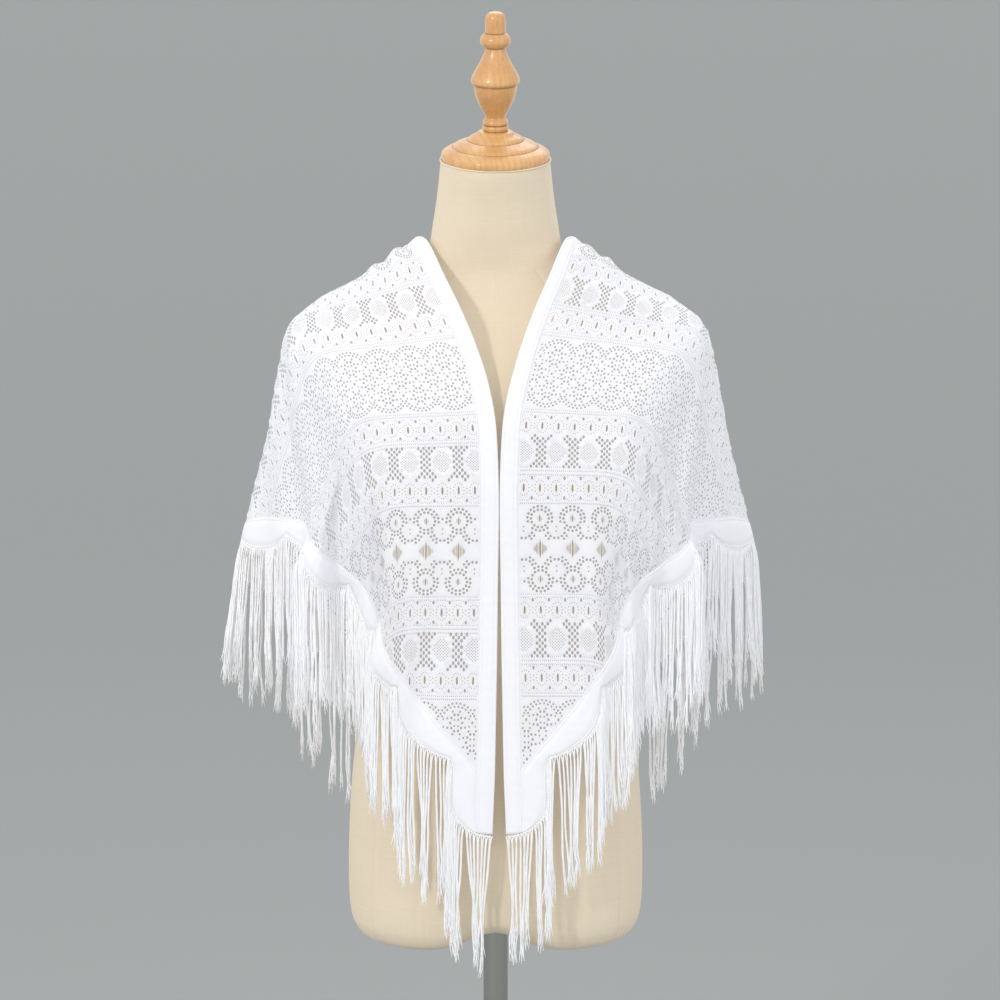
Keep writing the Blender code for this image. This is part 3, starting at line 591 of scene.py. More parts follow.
def revolved(profile: Array, segments: int) -> tuple[Array, Array]:
    """Turn a profile round the upright axis.

    Args:
        profile: Rows of radius and height.
        segments: How many points a turn.

    Returns:
        Vertices and faces.
    """
    angles = np.arange(segments) * 2 * math.pi / segments
    place = np.stack([profile[:, :1] * np.cos(angles), profile[:, :1] * np.sin(angles),
                      profile[:, 1:] + np.zeros(segments)], -1)
    return place.reshape(-1, 3), grid_faces(len(profile), segments)


def tie(piece: Object, node: str = "") -> Object:
    """Tie a piece to the frame.

    Args:
        piece: The piece.
        node: The solid that it replaces, if any.

    Returns:
        The same piece.
    """
    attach(piece, "root")
    if node:
        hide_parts(node)
    return piece


def through_rows(stations: Array, rows: Array, where: Array) -> Array:
    """Smooth curve through table rows, as a cubic with averaged slopes.

    Args:
        stations: Place of each row along the curve.
        rows: The rows.
        where: Places to read.

    Returns:
        A row for each place.
    """
    spans = np.diff(stations)[:, None]
    slopes = np.diff(rows, axis=0) / spans
    tangents = np.empty_like(rows)
    tangents[1:-1] = (slopes[:-1] * spans[1:] + slopes[1:] * spans[:-1]) / (
        spans[1:] + spans[:-1])
    tangents[0] = slopes[0]
    tangents[-1] = slopes[-1]
    cell = np.clip(np.searchsorted(stations, where, side="right") - 1, 0, len(stations) - 2)
    span = (stations[cell + 1] - stations[cell])[..., None]
    t = (where - stations[cell])[..., None] / span
    return ((2 * t ** 3 - 3 * t ** 2 + 1) * rows[cell]
            + (t ** 3 - 2 * t ** 2 + t) * span * tangents[cell]
            + (3 * t ** 2 - 2 * t ** 3) * rows[cell + 1]
            + (t ** 3 - t ** 2) * span * tangents[cell + 1])


# ---- the drape
class Edge(NamedTuple):
    """One station of the neck and front edge of the cloth."""

    run: float
    out: float
    back: float
    up: float


class Stripe(NamedTuple):
    """One cross stripe: it leaves the edge flat, turns over, and falls to the hem."""

    run: float
    heading: float
    dip: float
    shelf: float
    turn: float
    hem_out: float
    hem_back: float
    hem_up: float


class Fold(NamedTuple):
    """One fold along a straight line of the flat cloth; it grows downwards or humps."""

    kind: str
    top_run: float
    top_reach: float
    low_run: float
    low_reach: float
    width: float
    out: float
    back: float
    up: float = 0.0


class Crease(NamedTuple):
    """A soft crease that dies away at both ends, pushed along the cloth's normal."""

    top_run: float
    top_reach: float
    low_run: float
    low_reach: float
    width: float
    lift: float


EDGES = tuple(Edge(*row) for row in (
    (0.0, 0.0068, -0.128, 0.761), (0.1, 0.0048, -0.128, 0.861), (0.245, 0.0026, -0.13, 1.006),
    (0.396, 0.0026, -0.135, 1.157), (0.428, 0.0045, -0.133, 1.189),
    (0.47, 0.012, -0.125, 1.229), (0.508, 0.023, -0.113, 1.264), (0.551, 0.038, -0.095, 1.3),
    (0.589, 0.052, -0.073, 1.328), (0.648, 0.0715, -0.02, 1.364), (0.7, 0.084, 0.03, 1.362),
    (0.752, 0.076, 0.08, 1.348), (0.8, 0.042, 0.108, 1.335), (0.845, 0.0, 0.115, 1.33),
))

STRIPES = tuple(Stripe(*row) for row in (
    (0.08, -2, 0, 0.1, 0.03, 0.066, -0.128, 0.841),
    (0.14, -1, 0, 0.1, 0.03, 0.106, -0.126, 0.895),
    (0.193, 0, 0, 0.1, 0.03, 0.13, -0.12, 0.93),
    (0.25, 0, 0, 0.1, 0.03, 0.136, -0.108, 0.972),
    (0.303, 2, 0, 0.11, 0.035, 0.152, -0.092, 0.998),
    (0.35, 3, 1, 0.12, 0.04, 0.182, -0.098, 1.015),
    (0.398, 5, 2, 0.135, 0.045, 0.208, -0.085, 1.033),
    (0.425, 7, 3, 0.143, 0.045, 0.206, -0.062, 1.036),
    (0.45, 9, 4, 0.15, 0.045, 0.212, -0.04, 1.038),
    (0.49, 14, 6, 0.165, 0.04, 0.238, -0.005, 1.037),
    (0.535, 21, 9, 0.185, 0.035, 0.266, 0.04, 1.027),
    (0.568, 27, 12, 0.2, 0.03, 0.281, 0.08, 1.012),
    (0.59, 31, 14, 0.2, 0.03, 0.275, 0.108, 0.992),
    (0.62, 38, 18, 0.185, 0.035, 0.25, 0.123, 0.966),
    (0.66, 46, 26, 0.155, 0.045, 0.213, 0.13, 0.922),
    (0.7, 52, 34, 0.125, 0.05, 0.168, 0.134, 0.875),
    (0.76, 62, 50, 0.1, 0.05, 0.096, 0.138, 0.8),
    (0.845, 90, 66, 0.08, 0.05, 0.0, 0.141, 0.722),
))

FOLDS = {
    Side.LEFT: tuple(Fold(*row) for row in (
        ("fall", 0.56, 0.19, 0.4, 0.322, 0.024, 0.002, -0.012),
        ("fall", 0.57, 0.2, 0.448, 0.357, 0.024, -0.006, 0.013),
        ("fall", 0.46, 0.15, 0.322, 0.26, 0.021, 0.0, 0.016),
        ("fall", 0.47, 0.16, 0.362, 0.291, 0.019, -0.002, -0.007),
        ("fall", 0.43, 0.12, 0.262, 0.21, 0.02, 0.0, -0.005),
        ("fall", 0.43, 0.1, 0.212, 0.168, 0.018, 0.0, 0.006),
        ("fall", 0.42, 0.085, 0.162, 0.124, 0.017, 0.0, -0.005),
        ("fall", 0.3, 0.06, 0.112, 0.08, 0.014, 0.0, 0.006),
        ("fall", 0.62, 0.22, 0.51, 0.402, 0.03, -0.004, 0.006),
        ("fall", 0.7, 0.12, 0.7, 0.52, 0.032, 0.0, 0.012),
        ("fall", 0.76, 0.1, 0.77, 0.57, 0.032, 0.0, -0.008),
        ("hump", 0.56, 0.046, 0.74, 0.05, 0.013, 0.0, 0.0, 0.008),
        ("hump", 0.58, 0.084, 0.72, 0.088, 0.013, 0.0, 0.0, 0.005),
    )),
    Side.RIGHT: tuple(Fold(*row) for row in (
        ("fall", 0.56, 0.19, 0.4, 0.322, 0.024, 0.002, -0.012),
        ("fall", 0.57, 0.2, 0.446, 0.356, 0.026, -0.008, 0.018),
        ("fall", 0.46, 0.15, 0.33, 0.266, 0.021, 0.0, 0.012),
        ("fall", 0.43, 0.12, 0.262, 0.205, 0.021, 0.0, -0.007),
        ("fall", 0.4, 0.1, 0.2, 0.156, 0.019, 0.0, 0.006),
        ("fall", 0.38, 0.08, 0.144, 0.108, 0.016, 0.0, -0.004),
        ("fall", 0.62, 0.22, 0.52, 0.408, 0.03, -0.004, 0.008),
        ("fall", 0.7, 0.12, 0.69, 0.512, 0.034, 0.0, 0.01),
        ("fall", 0.78, 0.1, 0.79, 0.584, 0.03, 0.0, -0.008),
        ("hump", 0.58, 0.036, 0.73, 0.04, 0.013, 0.0, 0.0, 0.006),
        ("hump", 0.57, 0.07, 0.74, 0.072, 0.012, 0.0, 0.0, 0.007),
    )),
}

CREASES = tuple(Crease(*row) for row in (
    (0.52, 0.03, 0.4, 0.17, 0.009, 0.0016), (0.5, 0.09, 0.38, 0.22, 0.01, -0.0018),
    (0.6, 0.12, 0.48, 0.3, 0.012, 0.0022), (0.64, 0.15, 0.54, 0.38, 0.012, -0.002),
    (0.67, 0.1, 0.6, 0.43, 0.011, 0.002), (0.73, 0.06, 0.66, 0.42, 0.012, -0.0018),
    (0.74, 0.14, 0.735, 0.54, 0.012, 0.0024), (0.8, 0.05, 0.805, 0.5, 0.013, -0.002),
    (0.36, 0.05, 0.23, 0.11, 0.008, 0.0012), (0.3, 0.03, 0.14, 0.07, 0.008, -0.0011),
    (0.59, 0.02, 0.7, 0.03, 0.006, 0.0018),
))


@dataclass(frozen=True)
class Drape:
    """The cloth as it hangs, from the flat triangle.

    half_edge is half of the long side. The hem leaves a tip at hem_slope and eases
    to the centre back, and tip_radius rounds it over the first tip_run; whole_tip has
    both for a hem without scallops. Its edge is cut in round scallops, which meet in
    notches; the first notch lies first_notch from the tip.
    """

    half_edge: float = 0.845
    hem_slope: float = 0.85
    hem_ease: float = 0.10
    tip_radius: float = 0.042
    tip_run: float = 0.038
    whole_tip: tuple[float, float] = (0.045, 0.040)
    first_notch: float = 0.093
    scallops: float = 9.5
    notch_depth: float = 0.0185
    crest_depth: float = 0.0015
    crest_grows: float = 0.05
    roundness: float = 0.80
    least_fall: float = 0.015
    opening: float = 0.0040
    opening_fade: tuple[float, float] = (0.48, 0.66)
    crease_shift: float = 0.006
    crease_skew: float = 0.25
    step: float = 0.0008

    def hem_line(self, run: Array) -> Array:
        """Reach of the straight hem at a run."""
        return run * (self.hem_slope - self.hem_ease * run / self.half_edge)

    @cached_property
    def scalloped(self) -> tuple[Array, Array]:
        """Follow the scalloped hem.

        Returns:
            Run and reach of points close together along it.
        """
        beyond, points = 0.03, 4000
        run = np.linspace(0.0, self.half_edge + beyond, points)
        reach = self.hem_line(run)
        along = np.concatenate([[0.0], np.cumsum(np.hypot(np.diff(run), np.diff(reach)))])
        middle = np.interp(self.half_edge, run, along)
        pitch = (middle - self.first_notch) / self.scallops
        share = np.where(along < self.first_notch, 0.5 + 0.5 * along / self.first_notch,
                         ((along - self.first_notch) / pitch) % 1.0)
        bent = 1.0 - np.sqrt(1.0 - (self.roundness * (2.0 * share - 1.0)) ** 2)
        bent /= 1.0 - math.sqrt(1.0 - self.roundness ** 2)
        crest = self.crest_depth * np.clip(along / self.crest_grows, 0.0, 1.0)
        depth = crest + (self.notch_depth - self.crest_depth) * bent
        slope = np.gradient(reach, run)
        lean = np.hypot(1.0, slope)
        return run + depth * slope / lean, reach - depth / lean

    def hem_reach(self, run: Array) -> Array:
        """Reach of the scalloped hem at some runs, with the tip rounded."""
        share = np.clip(run, 0.0, self.tip_run) / self.tip_run
        bow = self.tip_radius * np.sqrt(np.clip(1.0 - (1.0 - share) ** 2, 0.0, 1.0))
        return np.maximum(np.interp(run, *self.scalloped), bow)

    def whole_hem(self, run: float) -> float:
        """Reach of the hem at a run, with its tip rounded but no scallops."""
        radius, until = self.whole_tip
        share = min(run, until) / until
        return max(self.hem_line(run), radius * math.sqrt(1.0 - (1.0 - share) ** 2))

    def past_middle(self, rows: Array, across: Sequence[int]) -> Array:
        """Repeat the last but one table row past the centre back, mirrored.

        Args:
            rows: Table rows, whose first number is a run.
            across: Which numbers change sign there.

        Returns:
            The rows with one more.
        """
        extra = rows[-2].copy()
        extra[0] = 2 * self.half_edge - extra[0]
        extra[across] *= -1
        return np.vstack([rows, extra])

    def edge_place(self, run: Array) -> Array:
        """Out, back and up of the neck edge at a run."""
        rows = self.past_middle(np.array(EDGES), [1])
        return through_rows(rows[:, 0], rows[:, 1:], run)

    def stripe_rows(self) -> Array:
        """Work the stripes out.

        Returns:
            Run, shelf direction, shelf, turn and fall per metre of each.
        """
        rows = []
        for stripe in STRIPES:
            heading = math.radians(stripe.heading)
            dip = math.radians(stripe.dip)
            shelf = np.array([math.cos(dip) * math.cos(heading),
                              math.cos(dip) * math.sin(heading), -math.sin(dip)])
            start = self.edge_place(np.array([stripe.run]))[0]
            hem = np.array([stripe.hem_out, stripe.hem_back, stripe.hem_up])
            left_over = float(self.whole_hem(stripe.run)) - stripe.shelf
            fall = shelf * 0.9
            if left_over > self.least_fall:
                fall = (hem - start - shelf * stripe.shelf) / left_over
            rows.append([stripe.run, *shelf, stripe.shelf, stripe.turn, *fall])
        return self.past_middle(np.array(rows), [1, 6])

    def place(self, side: Side, run: Array, reach: Array) -> Array:
        """Place of the cloth's middle layer.

        Args:
            side: Half of the shawl.
            run: Runs.
            reach: Reaches.

        Returns:
            An array of x, y, z.
        """
        run = np.asarray(run, dtype=float)
        reach = np.asarray(reach, dtype=float)
        rows = self.stripe_rows()
        row = through_rows(rows[:, 0], rows[:, 1:], np.maximum(run, STRIPES[0].run))
        shelf = row[..., 0:3] / np.linalg.norm(row[..., 0:3], axis=-1, keepdims=True)
        length = row[..., 3]
        turn = row[..., 4]
        share = np.clip((reach - length + turn) / (2 * turn), 0.0, 1.0)
        fallen = (2 * turn * (share ** 3 - share ** 4 / 2)
                  + np.maximum(reach - length - turn, 0.0))
        place = (self.edge_place(run) + shelf * (reach - fallen)[..., None]
                 + row[..., 5:8] * fallen[..., None])
        for fold in FOLDS[side]:
            share, offset = self.along(fold, run, reach)
            if fold.kind == "hump":
                lift = np.sin(math.pi * share) ** 2 * np.exp(-(offset / fold.width) ** 2)
            else:
                width = fold.width * (0.55 + 0.45 * share)
                lift = share ** 2 * (3 - 2 * share) * np.exp(-(offset / width) ** 2)
            place += lift[..., None] * np.array([fold.out, fold.back, fold.up])
        low, high = self.opening_fade
        fade = np.clip((run - low) / (high - low), 0.0, 1.0)
        place[..., 0] = side.value * place[..., 0] + self.opening * (1.0 - fade)
        return place

    def along(self, line: Fold | Crease, run: Array, reach: Array) -> tuple[Array, Array]:
        """Find flat points against a fold's line.

        Args:
            line: The fold or crease.
            run: Runs.
            reach: Reaches.

        Returns:
            Each point's share of the line's length, and its distance from the line.
        """
        on_run = line.low_run - line.top_run
        on_reach = line.low_reach - line.top_reach
        length = math.hypot(on_run, on_reach)
        away_run = run - line.top_run
        away_reach = reach - line.top_reach
        share = (away_run * on_run + away_reach * on_reach) / length ** 2
        offset = (away_run * on_reach - away_reach * on_run) / length
        return np.clip(share, 0.0, 1.0), offset

    def normal(self, side: Side, run: Array, reach: Array) -> Array:
        """Normal of the cloth.

        Args:
            side: Half of the shawl.
            run: Runs.
            reach: Reaches.

        Returns:
            A unit vector away from the form for each.
        """
        step = self.step
        down = self.place(side, run + step, reach) - self.place(side, run - step, reach)
        across = self.place(side, run, reach + step) - self.place(side, run, reach - step)
        normal = np.cross(across, down) * side.value
        return normal / np.linalg.norm(normal, axis=-1, keepdims=True)

    def worn(self, side: Side, run: Array, reach: Array, lift: Array | float = 0.0) -> Array:
        """Place of the cloth with its soft creases.

        Args:
            side: Half of the shawl.
            run: Runs.
            reach: Reaches.
            lift: Distance off the middle layer, away from the form.

        Returns:
            An array of x, y, z.
        """
        run = np.asarray(run, dtype=float)
        reach = np.asarray(reach, dtype=float)
        push = np.zeros(run.shape) + lift
        skew = 1.0 + self.crease_skew * side.value * np.sin(run * 9.0)
        for crease in CREASES:
            share, offset = self.along(crease, run + self.crease_shift * side.value, reach)
            push = push + (crease.lift * skew * np.sin(math.pi * share) ** 2
                           * np.exp(-(offset / crease.width) ** 2))
        return self.place(side, run, reach) + self.normal(side, run, reach) * push[..., None]

    def away(self, side: Side, run: Array) -> Array:
        """Direction in the cloth at the hem, square to it and off the cloth.

        Args:
            side: Half of the shawl.
            run: Runs.

        Returns:
            A unit vector for each.
        """
        step = self.step
        reach = self.hem_reach(run)
        down = (self.place(side, run + step, self.hem_reach(run + step))
                - self.place(side, run - step, self.hem_reach(run - step)))
        way = np.cross(self.normal(side, run, reach), down)
        across = self.place(side, run, reach + step) - self.place(side, run, reach - step)
        way *= np.sign(np.sum(way * across, axis=-1, keepdims=True))
        return way / np.linalg.norm(way, axis=-1, keepdims=True)

    def hem_stations(self, spacing: float, first: float = 0.0035) -> Array:
        """Space stations evenly along the flat hem, up to the centre back.

        Args:
            spacing: The distance between two.
            first: Run of the first one.

        Returns:
            Their runs.
        """
        points = 3000
        run = first + (self.half_edge - first) * np.linspace(0.0, 1.0, points) ** 2
        step = np.hypot(np.diff(run), np.diff(self.hem_reach(run)))
        length = np.concatenate([[0.0], np.cumsum(step)])
        count = int(round(length[-1] / spacing))
        return np.interp(np.linspace(0.0, length[-1], count + 1), length, run)


# ---- the lace chart
class Hole(NamedTuple):
    """One hole of the lace, in millimetres from the repeat's middle."""

    along: float
    across: float
    half_along: float
    half_across: float
    corners: int
    web: float


class Band(NamedTuple):
    """One band of the lace, its middle in millimetres.

    Its kind names the method that charts it. The sides are those of its slits, as
    signs along, that have small holes.
    """

    kind: str
    middle: float
    sides: tuple[int, ...] = ()


BANDS = (
    Band("ring", 0.0),
    Band("chain", -133.4, (-1,)),
    Band("chain", -63.0, (-1, 1)),
    Band("chain", 63.0, (-1,)),
    Band("chain", 133.0, (-1, 1)),
    Band("oval", -101.9),
    Band("oval", 94.0),
    Band("double", -80.4),
    Band("double", 115.5),
    Band("blossom", 197.0),
    Band("dotted", 150.6),
    Band("dotted", 243.4),
    Band("dotted", -48.6),
    Band("dotted", 48.6),
)


@dataclass(frozen=True)
class LaceChart:
    """One repeat of the lace, charted by motif. Lengths are in millimetres."""

    repeat: float = 394.5
    pitch: float = 32.8
    web: float = 0.55
    dot: tuple[float, float] = (0.66, 0.60)
    net: tuple[float, float] = (2.25, 1.55)
    closing: float = 0.93

    def circle(self, along: float, across: float, radii: tuple[float, float], count: int,
               half: tuple[float, float], first: float = 0.0) -> list[Hole]:
        """Holes round a circle or oval.

        Args:
            along: Its middle along the repeat.
            across: Its middle across the repeat.
            radii: Its half lengths along and across.
            count: How many holes.
            half: Half size of each hole, along and across.
            first: Share of a step that the first hole is turned by.

        Returns:
            The holes.
        """
        found = []
        for i in range(count):
            angle = 2 * math.pi * (i + first) / count
            found.append(Hole(along + radii[0] * math.cos(angle),
                              across + radii[1] * math.sin(angle), *half, 6, self.web))
        return found

    def lattice(self, low: float, high: float, row: float, column: float,
                half: tuple[float, float], corners: int,
                keep: Callable[[float, float], bool]) -> list[Hole]:
        """Staggered net of holes over one pitch.

        Args:
            low: Its first row's place along.
            high: Its last row's place along.
            row: Distance between rows.
            column: Distance between columns, made to fit the pitch.
            half: Half size of each hole, along and across.
            corners: Corners of each hole.
            keep: Says whether a place along and across has a hole.

        Returns:
            The holes.
        """
        found = []
        columns = int(round(self.pitch / column))
        column = self.pitch / columns
        rows = int((high - low) / row)
        for i in range(rows + 1):
            for j in range(columns):
                if (i + j) % 2:
                    continue
                along = low + i * row
                across = (j + 0.5) * column - self.pitch / 2
                if keep(along, across):
                    found.append(Hole(along, across, *half, corners, 0.35))
        return found

    def from_phase(self, across: float, phase: float) -> float:
        """Distance across from the nearest motif of a phase, with its sign."""
        off = across - phase * self.pitch
        return off - self.pitch * round(off / self.pitch)

    def dots(self, along: float) -> list[Hole]:
        """A row of tiny holes at a place along."""
        count = 16
        return [Hole(along, (j + 0.5) * self.pitch / count - self.pitch / 2, *self.dot, 4, 0.4)
                for j in range(count)]

    def oval(self, band: Band) -> list[Hole]:
        """Ovals of fine net in a thick ring, with coarse net between.

        Args:
            band: The band.

        Returns:
            The holes.
        """
        def inside(along: float, across: float) -> bool:
            """Whether a place is within an oval."""
            off = self.from_phase(across, 0.5)
            return (along / 11.3) ** 2 + (off / 8.3) ** 2 < 1.0

        def between(along: float, across: float) -> bool:
            """Whether a place is in the coarse net."""
            off = self.from_phase(across, 0.5)
            tip = max(0.0, 1.0 - abs(abs(self.from_phase(across, 0.0)) - 8.2) / 4.6)
            clear = (along / 18.9) ** 2 + (off / 11.5) ** 2 > 1.0
            return clear and -17.6 - 6.0 * tip < along < 16.6

        holes = self.lattice(-10.85, 10.85, 1.55, 1.49, (0.74, 0.68), 4, inside)
        holes += self.lattice(-23.1, 16.6, 3.3, 2.73, self.net, 6, between)
        return [hole._replace(along=hole.along + band.middle) for hole in holes]

    def chain(self, band: Band) -> list[Hole]:
        """Long slits in dotted frames, with small holes between their ends.

        Args:
            band: The band.

        Returns:
            The holes.
        """
        middle, holes = band.middle, []
        for phase in (0.0, 0.5):
            across = phase * self.pitch
            holes.append(Hole(middle, across, 5.1, 1.25, 6, self.web))
            holes += self.circle(middle, across, (7.9, 5.3), 14, self.dot, 0.5)
        for quarter in (-0.25, 0.25):
            across = quarter * self.pitch
            holes += self.circle(middle, across, (2.2, 1.7), 4, self.dot)
            for side in band.sides:
                holes.append(Hole(middle + side * 10.3, across, 2.3, 1.4, 6, self.web))
                holes += [Hole(middle + side * 11.6, across + off, *self.dot, 4, 0.4)
                          for off in (-2.7, 2.7)]
                holes += [Hole(middle + side * 12.9, across + off, *self.dot, 4, 0.4)
                          for off in (-4.6, 4.6)]
        return holes

    def double(self, band: Band) -> list[Hole]:
        """Two solid lines between rows of dots."""
        return [hole for off in (0.0, -4.0, 4.0) for hole in self.dots(band.middle + off)]

    def dotted(self, band: Band) -> list[Hole]:
        """One solid line between rows of dots."""
        return self.dots(band.middle - 1.7) + self.dots(band.middle + 1.7)

    def ring(self, band: Band) -> list[Hole]:
        """Diamonds, with ring flowers and daisies above and below them.

        Args:
            band: The band.

        Returns:
            The holes.
        """
        middle, holes = band.middle, []
        for off, length, half in ((0.0, 10.9, 1.20), (2.25, 8.3, 0.50), (3.60, 6.5, 0.48),
                                  (4.95, 4.6, 0.46), (6.25, 2.6, 0.42)):
            for sign in ((1,) if off == 0.0 else (-1, 1)):
                holes.append(Hole(middle, sign * off, length, half, 6, 0.3))
        flowers = [(side * 31.4, 0.0) for side in (-1, 1)]
        daisies = [(side * 20.5, self.pitch / 2) for side in (-1, 1)]
        netted = []
        for along, across in flowers:
            holes.append(Hole(middle + along, across, 4.5, 0.95, 6, 0.3))
            holes += [Hole(middle + along, across + off, 2.5, 0.34, 6, 0.3)
                      for off in (-1.85, 1.85)]
            netted += self.circle(along, across, (9.2, 9.0), 14, (1.70, 1.55), 0.5)
            netted += self.circle(along, across, (12.8, 12.5), 19, (1.65, 1.50))
        for along, across in daisies:
            holes += [Hole(middle + along + off, across, 0.95, 0.85, 6, 0.4)
                      for off in (-2.3, 2.3)]
            netted += self.circle(along, across, (9.6, 9.2), 14, (1.70, 1.50), 0.5)
            netted += self.circle(along, across, (13.0, 12.6), 19, (1.55, 1.40))
        for hole in netted:
            off = self.from_phase(hole.across, 0.0)
            framed = abs(hole.along) / 15.5 + abs(off) / 11.0 < 1.0
            petals = any(math.hypot(hole.along - along,
                                    self.from_phase(hole.across - across, 0.0)) < 7.6
                         for along, across in flowers + daisies)
            if not framed and not petals and 9.0 < abs(hole.along) < 46.0:
                holes.append(hole._replace(along=hole.along + middle, web=0.4))
        return holes

    def blossom(self, band: Band) -> list[Hole]:
        """Net clusters and four-petalled flowers in turn, under dotted domes.

        Args:
            band: The band.

        Returns:
            The holes.
        """
        middle, holes = band.middle, []
        row_gap = 20.5
        for row in (-1, 0, 1):
            along = middle + row * row_gap
            phase = 0.5 * self.pitch if row == 0 else 0.0
            holes.append(Hole(along, phase + self.pitch / 2, 2.0, 1.2, 6, self.web))
            holes += self.circle(along, phase, (8.9, 6.1), 10, (1.75, 1.30), 0.5)
            holes += self.circle(along, phase, (4.5, 2.7), 4, (1.45, 1.00), 0.5)
            holes += self.circle(along, phase, (12.6, 9.8), 8, (1.50, 1.15), 0.5)
            holes += self.circle(along, phase + self.pitch / 2, (5.6, 4.6), 4,
                                 (1.20, 0.90), 0.5)
        for side in (-1, 1):
            along = middle + side * row_gap
            for radii, count, start in (((20.3, 19.0), 11, -62.0), ((17.0, 15.8), 10, -66.0)):
                for i in range(count):
                    angle = math.radians(start - 2 * start * i / (count - 1))
                    holes.append(Hole(along + side * radii[0] * math.cos(angle),
                                      radii[1] * math.sin(angle), 1.40, 1.20, 6, 0.5))
        return holes

    def crowds(self, hole: Hole, other: Hole) -> bool:
        """Whether two holes would leave too thin a web between them."""
        web = min(hole.web, other.web)
        on = (hole.along - other.along) / (hole.half_along + other.half_along + web)
        over = self.from_phase(hole.across - other.across, 0.0) / (
            hole.half_across + other.half_across + web)
        return on * on + over * over < 1.0

    def holes(self) -> list[Hole]:
        """Chart all holes, those left out that would crowd an earlier one.

        Returns:
            The holes of one repeat.
        """
        kept: list[Hole] = []
        rows: dict[int, list[Hole]] = {}
        row_depth = 8.0
        for band in BANDS:
            for hole in getattr(self, band.kind)(band):
                hole = hole._replace(across=self.from_phase(hole.across, 0.0),
                                     half_along=hole.half_along * self.closing,
                                     half_across=hole.half_across * self.closing)
                row = int(hole.along // row_depth)
                near = [other for k in range(row - 2, row + 3) for other in rows.get(k, ())]
                if not any(self.crowds(hole, other) for other in near):
                    kept.append(hole)
                    rows.setdefault(row, []).append(hole)
        return kept

    def cords(self) -> list[tuple[float, float]]:
        """Raised lines along the bands, as place along and height."""
        lines = [(band.middle + side * 2.0, 0.80) for band in BANDS if band.kind == "double"
                 for side in (-1, 1)]
        return lines + [(band.middle, 0.60) for band in BANDS if band.kind == "dotted"]

    def hoops(self) -> list[tuple[float, float, float, float, float]]:
        """Raised ovals, as their middle, half lengths and height."""
        return [(band.middle, 0.5 * self.pitch, 14.6, 9.8, 0.95)
                for band in BANDS if band.kind == "oval"]


class Ease(NamedTuple):
    """How much more lace than run lies between a front tip and a run."""

    run: float
    more: float


EASES = (
    Ease(0.380, 0.000),
    Ease(0.500, 0.019),
    Ease(0.620, 0.019),
    Ease(0.845, 0.0432),
)


